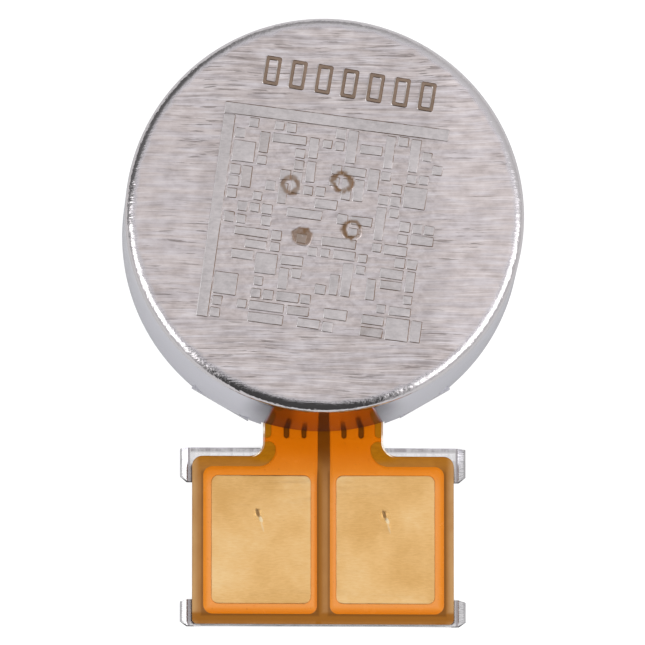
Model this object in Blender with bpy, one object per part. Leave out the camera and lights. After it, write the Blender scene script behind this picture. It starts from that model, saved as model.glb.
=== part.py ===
"""Coin-type linear resonant vibration motor with a flexible contact tail.

Frame: origin at the centre of the base plate's underside, +Z out of the case top,
the contact tail runs along -Y, +X to the right when the tail points down.
Sizes are in millimetres and are scaled to metres when a mesh is made.
Ranges named 0 and 1 run inner to outer (R), low to high (Z, X) and away from the motor (Y).
"""
import bpy
import bmesh
from math import sin, cos, pi, radians, degrees, sqrt, atan2, copysign, hypot
from mathutils import Matrix, Vector

MM = 0.001
SHARP_ANGLE = 32.0       # edges bent by more degrees than this are shaded sharp
LAYER_GAP = 0.002        # gap that keeps stacked pieces separate

# ---- case and base plate ----------------------------------------------
CASE_R = 5.00            # outer radius
CASE_H = 3.60            # overall height, base underside to case top
CASE_T = 0.20            # wall and top thickness
CASE_INNER_R = CASE_R - CASE_T
CASE_TOP_IN = CASE_H - CASE_T
BASE_T = 0.20
BASE_R = CASE_INNER_R - 0.012
ROUND_SEGMENTS = 112     # facets of the case and the base plate

# ---- heights of the flexible film's layers -----------------------------
FILM_Z0 = 0.240          # underside of the film
FILM_Z1 = 0.285          # top of its base layer
COPPER_Z0 = FILM_Z1 + LAYER_GAP
COPPER_Z1 = 0.312
COVER_Z0 = COPPER_Z1 + LAYER_GAP
COVER_Z1 = 0.350         # top of the cover film
PAD_Z1 = 0.332           # top of the gold plating, recessed in its window
BOND_Z1 = FILM_Z0 - LAYER_GAP

# ---- neck and tail in plan ---------------------------------------------
NECK_X0 = -1.45
NECK_X1 = 1.56
NECK_Y0 = -5.032         # flexible length of the neck
NECK_Y1 = -5.384
TAIL_CX = 0.052          # the tail sits a little to the right of the motor's centre
TAIL_X = 3.29            # half width
TAIL_Y0 = -5.620
TAIL_Y1 = -9.885

# ---- stack of the moving mass and the coil -----------------------------
YOKE_R1 = 2.64
FLANGE_Z0 = 2.45         # the yoke's flange
FLANGE_Z1 = 2.60
POLE_Z0 = 0.82
POLE_Z1 = 1.02
COIL_R0 = 1.75
TRAVEL = 0.35            # free travel of the moving mass either way
SPRING_T = 0.10
SPRING_OUT_Z = FLANGE_Z1 + LAYER_GAP + SPRING_T / 2     # middle of the outer ring
SPRING_IN_Z = CASE_TOP_IN - 0.003 - SPRING_T / 2        # middle of the centre plate


# ---- mesh helpers ------------------------------------------------------
def finish(shape, name, mat, sharp_angle=SHARP_ANGLE):
    """Turn a bmesh into a linked, smooth-shaded object."""
    bmesh.ops.recalc_face_normals(shape, faces=shape.faces[:])
    mesh = bpy.data.meshes.new(name)
    shape.to_mesh(mesh)
    shape.free()
    obj = bpy.data.objects.new(name, mesh)
    bpy.context.scene.collection.objects.link(obj)
    if mat is not None:
        mesh.materials.append(mat)
    mesh.shade_smooth()
    mesh.set_sharp_from_angle(angle=radians(sharp_angle))
    return obj


def add_points(shape, points):
    return [shape.verts.new((x * MM, y * MM, z * MM)) for x, y, z in points]


def bridge(shape, first, second, triangles=False):
    """Band of faces between two closed loops; triangles suit a band that is not flat."""
    count = len(first)
    for i in range(count):
        j = (i + 1) % count
        if triangles:
            shape.faces.new((first[i], first[j], second[j]))
            shape.faces.new((first[i], second[j], second[i]))
        else:
            shape.faces.new((first[i], first[j], second[j], second[i]))


def extrude(name, start, end, mat):
    """Solid between two matching flat loops of (x, y, z) points."""
    shape = bmesh.new()
    first = add_points(shape, start)
    second = add_points(shape, end)
    shape.faces.new(first[::-1])
    shape.faces.new(second)
    bridge(shape, first, second)
    return finish(shape, name, mat)


def prism(name, outline, z0, z1, mat=None):
    """Flat plate with the given (x, y) outline between two heights."""
    return extrude(name, [(x, y, z0) for x, y in outline], [(x, y, z1) for x, y in outline], mat)


def prism_x(name, profile, x0, x1):
    """Solid from a closed (y, z) profile between two x positions."""
    return extrude(name, [(x0, y, z) for y, z in profile], [(x1, y, z) for y, z in profile], None)


def prism_y(name, profile):
    """Solid from a closed (x, z, y0, y1) profile whose points each run from y0 to y1."""
    shape = bmesh.new()
    first = add_points(shape, [(x, y0, z) for x, z, y0, y1 in profile])
    second = add_points(shape, [(x, y1, z) for x, z, y0, y1 in profile])
    for loop in (first, second):
        edges = [shape.edges.new((loop[i - 1], loop[i])) for i in range(len(loop))]
        bmesh.ops.triangle_fill(shape, edges=edges)
    bridge(shape, first, second, triangles=True)
    return finish(shape, name, None)


def lathe(name, profile, mat=None, segments=ROUND_SEGMENTS):
    """Closed solid from a closed profile of (radius, height), turned about Z."""
    shape = bmesh.new()
    turns = [2 * pi * k / segments for k in range(segments)]
    rings = []
    for radius, z in profile:
        angles = turns if radius > 0 else [0.0]
        rings.append(add_points(shape, [(radius * cos(a), radius * sin(a), z) for a in angles]))
    for i, ring in enumerate(rings):
        pole, loop = sorted((rings[i - 1], ring), key=len)
        if len(pole) > 1:
            bridge(shape, rings[i - 1], ring)
        elif len(loop) > 1:
            for k in range(segments):
                shape.faces.new((pole[0], loop[k], loop[(k + 1) % segments]))
    return finish(shape, name, mat)


def tube(name, path, radius, mat, segments=8):
    """Round wire along a path of (x, y, z) points."""
    points = [Vector(p) for p in path]
    shape = bmesh.new()
    rings = []
    for i, point in enumerate(points):
        ahead = (points[min(i + 1, len(points) - 1)] - points[max(i - 1, 0)]).normalized()
        side = ahead.cross(Vector((0, 0, 1)))
        # a vertical stretch has no sideways direction of its own
        side = side.normalized() if side.length > 1e-6 else Vector((1, 0, 0))
        top = side.cross(ahead).normalized()
        turns = [2 * pi * k / segments for k in range(segments)]
        rings.append(add_points(
            shape, [point + radius * (side * cos(a) + top * sin(a)) for a in turns]))
    for ring, following in zip(rings, rings[1:]):
        bridge(shape, ring, following)
    shape.faces.new(rings[0][::-1])
    shape.faces.new(rings[-1])
    return finish(shape, name, mat, sharp_angle=50.0)


def boolean(target, tool, operation):
    """Apply a Boolean with the exact solver and discard the tool."""
    mod = target.modifiers.new("cut", "BOOLEAN")
    mod.operation = operation
    mod.solver = "EXACT"
    mod.object = tool
    bpy.context.view_layer.update()
    graph = bpy.context.evaluated_depsgraph_get()
    mesh = bpy.data.meshes.new_from_object(target.evaluated_get(graph))
    target.modifiers.remove(mod)
    old = target.data
    target.data = mesh
    mesh.name = target.name
    bpy.data.meshes.remove(old)
    bpy.data.objects.remove(tool, do_unlink=True)
    mesh.set_sharp_from_angle(angle=radians(SHARP_ANGLE))


def cut(target, tool):
    boolean(target, tool, "DIFFERENCE")


def join(target, tool):
    boolean(target, tool, "UNION")


# ---- outline helpers ---------------------------------------------------
def arc(centre_x, centre_y, radius, start, end, steps):
    """Points of an arc, angles in degrees."""
    angles = [radians(start + (end - start) * k / steps) for k in range(steps + 1)]
    return [(centre_x + radius * cos(a), centre_y + radius * sin(a)) for a in angles]


def rounded(corners, steps=6):
    """Outline through (x, y, radius) corners, each with radius > 0 replaced by a tangent arc."""
    outline = []
    for i, (x, y, radius) in enumerate(corners):
        if radius <= 0:
            outline.append((x, y))
            continue
        before_x, before_y, _ = corners[i - 1]
        after_x, after_y, _ = corners[(i + 1) % len(corners)]
        before = atan2(before_y - y, before_x - x)
        after = atan2(after_y - y, after_x - x)
        opening = (after - before + pi) % (2 * pi) - pi
        bisector = before + opening / 2
        reach = radius / sin(abs(opening) / 2)      # corner to arc centre
        sweep = opening - copysign(pi, opening)
        start = bisector + pi - sweep / 2
        outline += arc(x + reach * cos(bisector), y + reach * sin(bisector), radius,
                       degrees(start), degrees(start + sweep), steps)
    return outline


def rectangle(x0, x1, y0, y1):
    return [(x0, y0), (x1, y0), (x1, y1), (x0, y1)]


def rounded_rectangle(x0, x1, y0, y1, radius0, radius1, steps=6):
    """Rectangle with one corner radius at y0 and another at y1."""
    return rounded([(x0, y0, radius0), (x0, y1, radius1),
                    (x1, y1, radius1), (x1, y0, radius0)], steps)


def ring_profile(r0, r1, z0, z1, low_in=0.0, low_out=0.0, high_out=0.0):
    """Rectangular lathe profile with 45 degree chamfers on up to three corners."""
    points = [(r0, z0 + low_in), (r0 + low_in, z0), (r1 - low_out, z0), (r1, z0 + low_out),
              (r1, z1 - high_out), (r1 - high_out, z1), (r0, z1)]
    return list(dict.fromkeys(points))      # an unchamfered corner is one point


def smoothstep(t):
    return t * t * (3 - 2 * t)


# ---- scene and materials -----------------------------------------------
for obj in list(bpy.data.objects):
    bpy.data.objects.remove(obj, do_unlink=True)


def material(name, colour, roughness, metallic):
    mat = bpy.data.materials.new(name)
    mat.use_nodes = True
    shader = mat.node_tree.nodes["Principled BSDF"]
    shader.inputs["Base Color"].default_value = (*colour, 1.0)
    shader.inputs["Roughness"].default_value = roughness
    shader.inputs["Metallic"].default_value = metallic
    mat.diffuse_color = (*colour, 1.0)
    return mat


STEEL = material("stainless_case", colour=(0.60, 0.58, 0.58), roughness=0.28, metallic=1.0)
PLATE = material("stainless_base", colour=(0.56, 0.55, 0.56), roughness=0.32, metallic=1.0)
STIFF = material("stainless_stiffener", colour=(0.62, 0.60, 0.61), roughness=0.30, metallic=1.0)
SPRING = material("spring_steel", colour=(0.52, 0.51, 0.50), roughness=0.30, metallic=1.0)
YOKE = material("yoke_steel", colour=(0.44, 0.44, 0.45), roughness=0.38, metallic=1.0)
TUNGSTEN = material("tungsten_alloy", colour=(0.26, 0.26, 0.27), roughness=0.45, metallic=1.0)
MAGNET = material("nickel_plated_magnet", colour=(0.66, 0.63, 0.58), roughness=0.22, metallic=1.0)
COIL = material("enamelled_copper", colour=(0.60, 0.22, 0.08), roughness=0.35, metallic=0.6)
WIRE = material("lead_wire", colour=(0.65, 0.26, 0.10), roughness=0.35, metallic=0.6)
SOLDER = material("solder", colour=(0.70, 0.70, 0.71), roughness=0.25, metallic=1.0)
DAMPER = material("damper_rubber", colour=(0.04, 0.04, 0.045), roughness=0.80, metallic=0.0)
BOND = material("bond_layer", colour=(0.45, 0.36, 0.18), roughness=0.60, metallic=0.0)
FILM = material("film_base", colour=(0.30, 0.17, 0.03), roughness=0.35, metallic=0.0)
COPPER = material("copper_pour", colour=(0.78, 0.24, 0.02), roughness=0.35, metallic=0.2)
COVER = material("cover_film", colour=(0.42, 0.22, 0.03), roughness=0.30, metallic=0.0)
GOLD = material("gold_plating", colour=(0.76, 0.50, 0.21), roughness=0.30, metallic=1.0)

# ---- case: drawn cup, open below ---------------------------------------
RIM_A = 0.36             # drawn rim: half axes of its elliptic corner, in plan
RIM_B = 0.24             # and in height
RIM_RI = 0.10            # inner corner radius
WALL_RING_Z = 1.2        # extra ring of vertices round the outer wall
CUT_Z0 = -0.5            # cutters start below everything
SLOT_SIDE_GAP = 0.05     # between the film and the sides of its opening
SLOT_TOP_GAP = 0.015
NOTCH_GROW = 0.5         # added to an ear's radii and angular width for its notch
NOTCH_TOP_GAP = 0.006

# Ears of the base plate, left (-1) and right (1) of the neck:
# near and far angle from -Y in degrees, tip radius at each
EARS = {-1: (21.3, 40.0, 5.040, 5.050), 1: (23.5, 40.0, 5.020, 5.055)}
EAR_ROOT_R = BASE_R - 0.15
EAR_INSET_Z = 0.001      # ears are this much thinner than the plate on each face


def ear_outline(side, grow=0.0):
    """Straight-edged ear of the base plate, at one side of the neck."""
    near_angle, far_angle, near_r, far_r = EARS[side]
    near = radians(-90 + side * (near_angle - grow * 0.5))
    far = radians(-90 + side * (far_angle + grow * 0.5))
    near_r += grow * 0.5
    far_r += grow * 0.5
    points = [(radius * cos(a), radius * sin(a)) for radius, a in (
        (EAR_ROOT_R, near), (near_r, near), (far_r, far), (EAR_ROOT_R, far))]
    return points if side > 0 else points[::-1]


def make_case():
    profile = [(0.0, CASE_H)]
    profile += [(CASE_R - RIM_A + RIM_A * x, CASE_H - RIM_B + RIM_B * z)
                for x, z in arc(0.0, 0.0, 1.0, 90, 0, 8)]
    profile += [(CASE_R, WALL_RING_Z), (CASE_R, 0.0), (CASE_INNER_R, 0.0)]
    profile += arc(CASE_INNER_R - RIM_RI, CASE_TOP_IN - RIM_RI, RIM_RI, 0, 90, 3)
    profile += [(0.0, CASE_TOP_IN)]
    case = lathe("case", profile, STEEL)
    # opening for the film in the -Y side of the wall
    slot = rectangle(NECK_X0 - SLOT_SIDE_GAP, NECK_X1 + SLOT_SIDE_GAP, -6.0, -4.0)
    cut(case, prism("slot", slot, CUT_Z0, COVER_Z1 + SLOT_TOP_GAP))
    for side in EARS:
        cut(case, prism("notch", ear_outline(side, NOTCH_GROW), CUT_Z0, BASE_T + NOTCH_TOP_GAP))


def make_base_plate():
    plate = lathe("base_plate", ring_profile(0.0, BASE_R, 0.0, BASE_T,
                                             low_out=0.02, high_out=0.02), PLATE)
    for side in EARS:
        join(plate, prism("ear", ear_outline(side), EAR_INSET_Z, BASE_T - EAR_INSET_Z))


make_case()
make_base_plate()

# ---- flexible film and its bond inside the motor, and the neck ----------
HUB_R = 2.75             # round part of the film inside the motor
HUB_HOLE_R = 0.95
BOND_INSET = 0.05        # from the film's edges
BOND_END_Y = -4.72


def make_hub(name, inset, y_end, z0, z1, mat):
    """Round hub with a centre hole and a straight strip that leaves it towards -Y."""
    radius = HUB_R - inset
    x0, x1 = NECK_X0 + inset, NECK_X1 - inset
    start = degrees(atan2(-sqrt(radius * radius - x1 * x1), x1))
    end = degrees(atan2(-sqrt(radius * radius - x0 * x0), x0)) + 360
    outline = arc(0, 0, radius, start, end, 60) + [(x0, y_end), (x1, y_end)]
    hub = prism(name, outline, z0, z1, mat)
    cut(hub, lathe("hole", ring_profile(0.0, HUB_HOLE_R + inset, CUT_Z0, 1.5), segments=64))


make_hub("film_motor", 0.0, NECK_Y0 + LAYER_GAP, FILM_Z0, COVER_Z1, COVER)
make_hub("bond_motor", BOND_INSET, BOND_END_Y, BASE_T + LAYER_GAP, BOND_Z1, BOND)
prism("film_neck", rectangle(NECK_X0, NECK_X1, NECK_Y1, NECK_Y0), FILM_Z0, COVER_Z1, COVER)

# ---- tail: base film, copper, cover film, plating -----------------------
SHOULDER_R = 0.22        # corners where the neck widens into the tail
TAIL_END_R = 0.13        # corners at the far end
COVER_INSET = 0.01       # cover film from the base film's edge
POUR_TOP = NECK_Y1 - 0.004
POUR_Y0 = -5.885
POUR_Y1 = -9.635
POUR_R = 0.23            # corner radius
POUR_SHOULDER_R = 0.16   # where the lead meets the pour
# copper pours: outer x, inner x, then outer and inner x of the lead in the neck
POURS = {"left": (-2.96, -0.098, -1.35, -0.075), "right": (3.095, 0.224, 1.46, 0.205)}
# contact pads: low and high x
PADS = {"left": (-2.753, -0.254), "right": (0.380, 2.862)}
PAD_Y0 = -6.115
PAD_Y1 = -9.375
PAD_CORNER = 0.18
PAD_INSET = 0.008        # plating from the edge of its window


def tail_outline(inset=0.0):
    """Outline of the tail from the neck down."""
    top = NECK_Y1 - LAYER_GAP
    x0, x1 = TAIL_CX - TAIL_X + inset, TAIL_CX + TAIL_X - inset
    neck_x0, neck_x1 = NECK_X0 + inset, NECK_X1 - inset
    shoulder, end = TAIL_Y0 - inset, TAIL_Y1 + inset
    return rounded([
        (neck_x0, top, 0), (neck_x0, shoulder, SHOULDER_R), (x0, shoulder, SHOULDER_R),
        (x0, end, TAIL_END_R), (x1, end, TAIL_END_R),
        (x1, shoulder, SHOULDER_R), (neck_x1, shoulder, SHOULDER_R), (neck_x1, top, 0)])


def pour_outline(x_out, x_in, neck_out, neck_in):
    """Copper pour under one pad, with the lead that runs up the neck."""
    return rounded([
        (neck_out, POUR_TOP, 0), (neck_out, POUR_Y0, POUR_SHOULDER_R), (x_out, POUR_Y0, POUR_R),
        (x_out, POUR_Y1, POUR_R), (x_in, POUR_Y1, POUR_R), (x_in, POUR_Y0 + 0.06, 0),
        (neck_in, POUR_Y0 + 0.26, 0), (neck_in, POUR_TOP, 0)])


def pad_outline(x0, x1, inset=0.0):
    corner = PAD_CORNER - inset
    return rounded_rectangle(x0 + inset, x1 - inset, PAD_Y0 - inset, PAD_Y1 + inset,
                             corner, corner)


def make_tail():
    prism("film_tail", tail_outline(), FILM_Z0, FILM_Z1, FILM)
    for side, pour in POURS.items():
        prism("copper_" + side, pour_outline(*pour), COPPER_Z0, COPPER_Z1, COPPER)
    cover = prism("cover_tail", tail_outline(COVER_INSET), COVER_Z0, COVER_Z1, COVER)
    for side, span in PADS.items():
        cut(cover, prism("window", pad_outline(*span), 0.2, 0.5))
        prism("pad_" + side, pad_outline(*span, PAD_INSET), COVER_Z0, PAD_Z1, GOLD)


make_tail()

# ---- adhesive and stiffener plate under the tail ------------------------
STIFF_T = 0.15
STIFF_X = 3.27           # half width
STIFF_LEFT = TAIL_CX - STIFF_X
STIFF_RIGHT = TAIL_CX + STIFF_X
STIFF_Y0 = -5.465
STIFF_Y1 = -9.915
STIFF_CORNER = 0.06      # at the far end
TAIL_BOND_INSET = 0.03   # from the plate's sides and the tail's end
LIP_Y = -5.390           # edge nearest the motor, turned up very slightly
LIP_Z = 0.168
LIP_SIDE = 0.06          # lip's clearance to the neck and overhang past the plate's sides
# (y, z) profile of the lip
LIP_PROFILE = (
    (STIFF_Y0 - 0.10, 0.0), (STIFF_Y0 + 0.01, 0.0), (LIP_Y, 0.020), (LIP_Y, LIP_Z - 0.012),
    (LIP_Y - 0.020, LIP_Z), (STIFF_Y0 - 0.05, STIFF_T), (STIFF_Y0 - 0.10, STIFF_T))
TAB_X = 3.59             # corner tabs' tips, from the tail's centre line
TAB_RISE = 0.072         # how far the corner tabs stand above the plate
# y ranges of the tabs nearest the motor and at the far end:
# root start, root end, tip start, tip end
TABS = ((-5.395, -6.255, -5.425, -6.135), (-9.245, -9.915, -9.305, -9.815))
# x from the tail's centre line, z, whether the point has the tip's y range
TAB_PROFILE = (
    (STIFF_X - 0.20, 0.0, False), (TAB_X - 0.17, 0.0, False),
    (TAB_X, 0.079, True), (TAB_X, 0.120, True), (TAB_X - 0.05, STIFF_T + TAB_RISE, True),
    (TAB_X - 0.205, STIFF_T, False), (STIFF_X - 0.20, STIFF_T, False))


def make_stiffener():
    plate = prism("stiffener_plate", rounded_rectangle(
        STIFF_LEFT, STIFF_RIGHT, STIFF_Y0, STIFF_Y1, 0, STIFF_CORNER, steps=3),
        0.0, STIFF_T, STIFF)
    for x0, x1 in ((STIFF_LEFT - LIP_SIDE, NECK_X0 - LIP_SIDE),
                   (NECK_X1 + LIP_SIDE, STIFF_RIGHT + LIP_SIDE)):
        join(plate, prism_x("lip", LIP_PROFILE, x0, x1))
    for side in (-1, 1):
        for root0, root1, tip0, tip1 in TABS:
            join(plate, prism_y("tab", [
                (TAIL_CX + side * x, z, *((tip0, tip1) if at_tip else (root0, root1)))
                for x, z, at_tip in TAB_PROFILE]))


prism("bond_tail", rounded_rectangle(
    STIFF_LEFT + TAIL_BOND_INSET, STIFF_RIGHT - TAIL_BOND_INSET,
    TAIL_Y0 - 0.02, TAIL_Y1 + TAIL_BOND_INSET, 0.15, 0.1),
    STIFF_T + LAYER_GAP, BOND_Z1, BOND)
make_stiffener()

# ---- moving mass: weight, yoke, magnet, pole plate ----------------------
WEIGHT_R0 = YOKE_R1 + 0.005
WEIGHT_R1 = 4.45
WEIGHT_Z0 = 0.74
YOKE_R0 = 2.37           # inside of the yoke's skirt
FLANGE_R = 4.30
YOKE_BEVEL = 0.03        # also the pole plate's
MAGNET_R = 1.60

lathe("weight_ring", ring_profile(WEIGHT_R0, WEIGHT_R1, WEIGHT_Z0, FLANGE_Z0 - LAYER_GAP,
                                  low_in=0.05, low_out=0.12, high_out=0.20),
      TUNGSTEN, segments=80)
lathe("yoke", [
    (0.0, FLANGE_Z0), (YOKE_R0, FLANGE_Z0), (YOKE_R0, POLE_Z0 + YOKE_BEVEL),
    (YOKE_R0 + YOKE_BEVEL, POLE_Z0), (YOKE_R1 - YOKE_BEVEL, POLE_Z0),
    (YOKE_R1, POLE_Z0 + YOKE_BEVEL), (YOKE_R1, FLANGE_Z0), (FLANGE_R, FLANGE_Z0),
    (FLANGE_R, FLANGE_Z1 - YOKE_BEVEL), (FLANGE_R - YOKE_BEVEL, FLANGE_Z1),
    (0.0, FLANGE_Z1)], YOKE, segments=80)
lathe("magnet", ring_profile(0.0, MAGNET_R, POLE_Z1 + LAYER_GAP, FLANGE_Z0 - LAYER_GAP,
                             low_out=0.05, high_out=0.05), MAGNET, segments=64)
lathe("pole_plate", ring_profile(0.0, MAGNET_R, POLE_Z0, POLE_Z1, low_out=YOKE_BEVEL),
      YOKE, segments=64)

# ---- leaf spring: centre plate, three spiral arms, outer ring -----------
SPRING_HUB_R = 1.22
SPRING_RING_R0 = 3.72
SPRING_RING_R1 = 4.28
ARM_COUNT = 3
ARM_START = 11.3         # angle of the first arm's root, degrees
ARM_TURN = 235.0         # angle each arm sweeps, degrees
ARM_STEPS = 34
ARM_R0 = 1.02            # middle of the arm at its root
ARM_R1 = 3.92            # and at its end
ARM_EASE = 0.35          # share of smooth easing in the arm's radius, the rest linear
ARM_W = 0.46
ARM_INSET_Z = 0.008      # arms are this much thinner than the spring on each face
CONE_OVERLAP = 0.05      # the cone reaches this far into the centre plate and the ring


def spring_z(radius):
    """Height of the spring's middle surface: flat centre, cone, flat outer ring."""
    t = (radius - SPRING_HUB_R + CONE_OVERLAP) / (SPRING_RING_R0 + CONE_OVERLAP - SPRING_HUB_R)
    return SPRING_IN_Z + (SPRING_OUT_Z - SPRING_IN_Z) * smoothstep(min(max(t, 0.0), 1.0))


def spring_arm(start):
    """One arm: a strip that follows a spiral on the cone, from the centre plate to the ring."""
    half = SPRING_T / 2 - ARM_INSET_Z
    shape = bmesh.new()
    sections = []
    for i in range(ARM_STEPS + 1):
        t = i / ARM_STEPS
        middle = ARM_R0 + (ARM_R1 - ARM_R0) * (smoothstep(t) * ARM_EASE + t * (1 - ARM_EASE))
        angle = radians(start + ARM_TURN * t)
        inner, outer = middle - 0.5 * ARM_W, middle + 0.5 * ARM_W
        sections.append(add_points(shape, [
            (radius * cos(angle), radius * sin(angle), spring_z(radius) + rise)
            for radius, rise in ((inner, -half), (outer, -half), (outer, half), (inner, half))]))
    for section, following in zip(sections, sections[1:]):
        bridge(shape, section, following, triangles=True)
    shape.faces.new(sections[0])
    shape.faces.new(sections[-1][::-1])
    return finish(shape, "arm", None)


def spring_disc(name, r0, r1, middle_z, mat=None):
    """Flat round part of the spring."""
    profile = ring_profile(r0, r1, middle_z - SPRING_T / 2, middle_z + SPRING_T / 2)
    return lathe(name, profile, mat, segments=72)


spring = spring_disc("leaf_spring", 0.0, SPRING_HUB_R, SPRING_IN_Z, SPRING)
for arm in range(ARM_COUNT):
    join(spring, spring_arm(ARM_START + arm * 360 / ARM_COUNT))
join(spring, spring_disc("ring", SPRING_RING_R0, SPRING_RING_R1, SPRING_OUT_Z))

# ---- voice coil with layered winding ------------------------------------
COIL_R1 = 2.25
COIL_Z0 = COVER_Z1 + 0.004
COIL_Z1 = 1.80
COIL_LAYERS = 12
COIL_GROOVE = 0.02       # depth of the step between layers


def make_coil():
    pitch = (COIL_Z1 - COIL_Z0) / COIL_LAYERS
    profile = [(COIL_R0, COIL_Z0), (COIL_R1, COIL_Z0)]
    for layer in range(COIL_LAYERS):
        z0 = COIL_Z0 + pitch * layer
        z1 = COIL_Z0 + pitch * (layer + 1)
        profile += [(COIL_R1, z0 + COIL_GROOVE), (COIL_R1, z1 - COIL_GROOVE),
                    (COIL_R1 - COIL_GROOVE, z1)]
    profile.append((COIL_R0, COIL_Z1))
    lathe("voice_coil", profile, COIL, segments=64)


make_coil()

# ---- coil leads and solder joints ---------------------------------------
JOINT_X = 0.62           # either side of the centre
JOINT_Y = -1.22
# solder dome: radius, height above the cover film
DOME = ((0.0, LAYER_GAP), (0.22, LAYER_GAP), (0.20, 0.018),
        (0.14, 0.031), (0.07, 0.038), (0.0, 0.040))
LEAD_R = 0.016           # wire radius
LEAD_ANGLE = 38          # where the lead meets the coil, degrees from -Y
LEAD_END_R = COIL_R0 - 0.03
LEAD_BEND = 0.12         # sideways bow
LEAD_RISE = 0.059        # above the cover film; low enough for the pole plate at full travel
LEAD_ARCH = 0.014        # extra height at mid length
LEAD_TOP = 0.30          # end of the upright part, above the cover film
LEAD_STEPS = 8


def make_joint(name, side):
    """Solder dome and the lead from it to the inside of the coil."""
    joint_x = side * JOINT_X
    blob = lathe("solder_" + name, [(r, COVER_Z1 + rise) for r, rise in DOME],
                 SOLDER, segments=24)
    for vertex in blob.data.vertices:
        vertex.co.x += joint_x * MM
        vertex.co.y += JOINT_Y * MM
    angle = radians(-90 + side * LEAD_ANGLE)
    end_x, end_y = LEAD_END_R * cos(angle), LEAD_END_R * sin(angle)
    path = []
    for k in range(LEAD_STEPS + 1):
        t = k / LEAD_STEPS
        bow = sin(pi * t)
        path.append((joint_x + (end_x - joint_x) * t + side * LEAD_BEND * bow,
                     JOINT_Y + (end_y - JOINT_Y) * t,
                     COVER_Z1 + LEAD_RISE + LEAD_ARCH * bow))
    path.append((end_x, end_y, COVER_Z1 + LEAD_TOP))
    tube("coil_lead_" + name, path, LEAD_R, WIRE)


make_joint("left", -1)
make_joint("right", 1)

# ---- dampers -------------------------------------------------------------
BASE_DAMPER_R = 0.82
BASE_DAMPER_Z1 = 0.45
TOP_DAMPER_R0 = 3.70
TOP_DAMPER_R1 = 4.30
# clear of the spring's outer ring at full travel
TOP_DAMPER_Z0 = SPRING_OUT_Z + SPRING_T / 2 + TRAVEL + 0.058

lathe("base_damper", [
    (0.0, BASE_T + LAYER_GAP), (BASE_DAMPER_R, BASE_T + LAYER_GAP),
    (BASE_DAMPER_R, BASE_DAMPER_Z1 - 0.05), (BASE_DAMPER_R - 0.06, BASE_DAMPER_Z1),
    (0.0, BASE_DAMPER_Z1)], DAMPER, segments=48)
lathe("top_damper", ring_profile(TOP_DAMPER_R0, TOP_DAMPER_R1, TOP_DAMPER_Z0,
                                 CASE_TOP_IN - 0.003, low_in=0.05, low_out=0.05),
      DAMPER, segments=72)

# ---- moving groups: each parent empty stands on its joint's axis ---------
# near the middle of the neck, about which the tail folds
FOLD_AXIS = (0.06, (NECK_Y0 + NECK_Y1) / 2, (FILM_Z0 + COVER_Z1) / 2)


def group(name, place, members):
    """Parent empty at a joint axis; the members keep their places."""
    axis = bpy.data.objects.new(name, None)
    axis.empty_display_size = 0.5 * MM
    axis.location = [c * MM for c in place]
    bpy.context.scene.collection.objects.link(axis)
    for member in members:
        obj = bpy.data.objects[member]
        obj.parent = axis
        obj.matrix_parent_inverse = Matrix.Translation([-c * MM for c in place])


group("tail_fold_axis", FOLD_AXIS,
      ("film_tail", "copper_left", "copper_right", "cover_tail", "pad_left", "pad_right",
       "bond_tail", "stiffener_plate"))
group("vibrator_slide_axis", (0.0, 0.0, 0.0),
      ("weight_ring", "yoke", "magnet", "pole_plate"))
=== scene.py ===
"""Coin-type vibration motor on a flexible film circuit, built around its CAD frame.

The motor's axis is Z and its foot lies at z = 0. The film leaves the case through a slot at -Y
and widens into a tail with two gold pads on a stiffener plate. Sizes are in millimetres; MM
turns them into metres when vertices are made.
"""
import bpy
import bmesh
import random
from cmath import phase
from math import sin, cos, pi, radians, tan, hypot, exp
from mathutils import Vector, Matrix, noise


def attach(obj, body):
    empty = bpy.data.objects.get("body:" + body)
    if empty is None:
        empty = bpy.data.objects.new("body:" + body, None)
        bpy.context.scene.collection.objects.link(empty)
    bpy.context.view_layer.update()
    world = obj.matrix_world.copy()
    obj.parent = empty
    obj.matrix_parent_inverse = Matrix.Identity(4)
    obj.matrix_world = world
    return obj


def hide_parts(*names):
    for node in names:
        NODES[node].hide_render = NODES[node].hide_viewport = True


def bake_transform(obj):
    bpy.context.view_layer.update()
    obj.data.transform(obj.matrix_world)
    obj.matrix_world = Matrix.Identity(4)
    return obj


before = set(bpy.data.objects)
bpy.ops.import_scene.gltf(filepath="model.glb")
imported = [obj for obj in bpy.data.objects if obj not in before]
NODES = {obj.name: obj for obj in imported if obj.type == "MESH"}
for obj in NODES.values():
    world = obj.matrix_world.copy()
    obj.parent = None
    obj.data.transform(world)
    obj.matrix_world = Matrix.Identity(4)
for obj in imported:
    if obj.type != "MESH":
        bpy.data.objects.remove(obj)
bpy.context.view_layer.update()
MM = 0.001
RNG = random.Random(41)

# =====================================================================
# dimensions
# =====================================================================
# case
CASE_R, CASE_H, CASE_T = 5.00, 3.60, 0.20
CASE_INNER_R, CASE_INNER_TOP = CASE_R - CASE_T, CASE_H - CASE_T
RIM_WIDE, RIM_TALL = 0.36, 0.24        # half axes of the rim's elliptic corner
BASE_T = 0.20
# side of the slot: near angle, far angle (degrees from -Y), near radius, far radius
EARS = {-1: (21.3, 40.0, 5.040, 5.050), 1: (23.5, 40.0, 5.020, 5.055)}

# film
NECK_X0, NECK_X1 = -1.45, 1.56
FILM_IN_Y = -4.45                      # the sheet starts inside the case
FILM_Z0, COVER_Z1 = 0.240, 0.350
TAIL_CX, TAIL_HALF, TAIL_Y0, TAIL_Y1 = 0.052, 3.29, -5.620, -9.885

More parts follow.
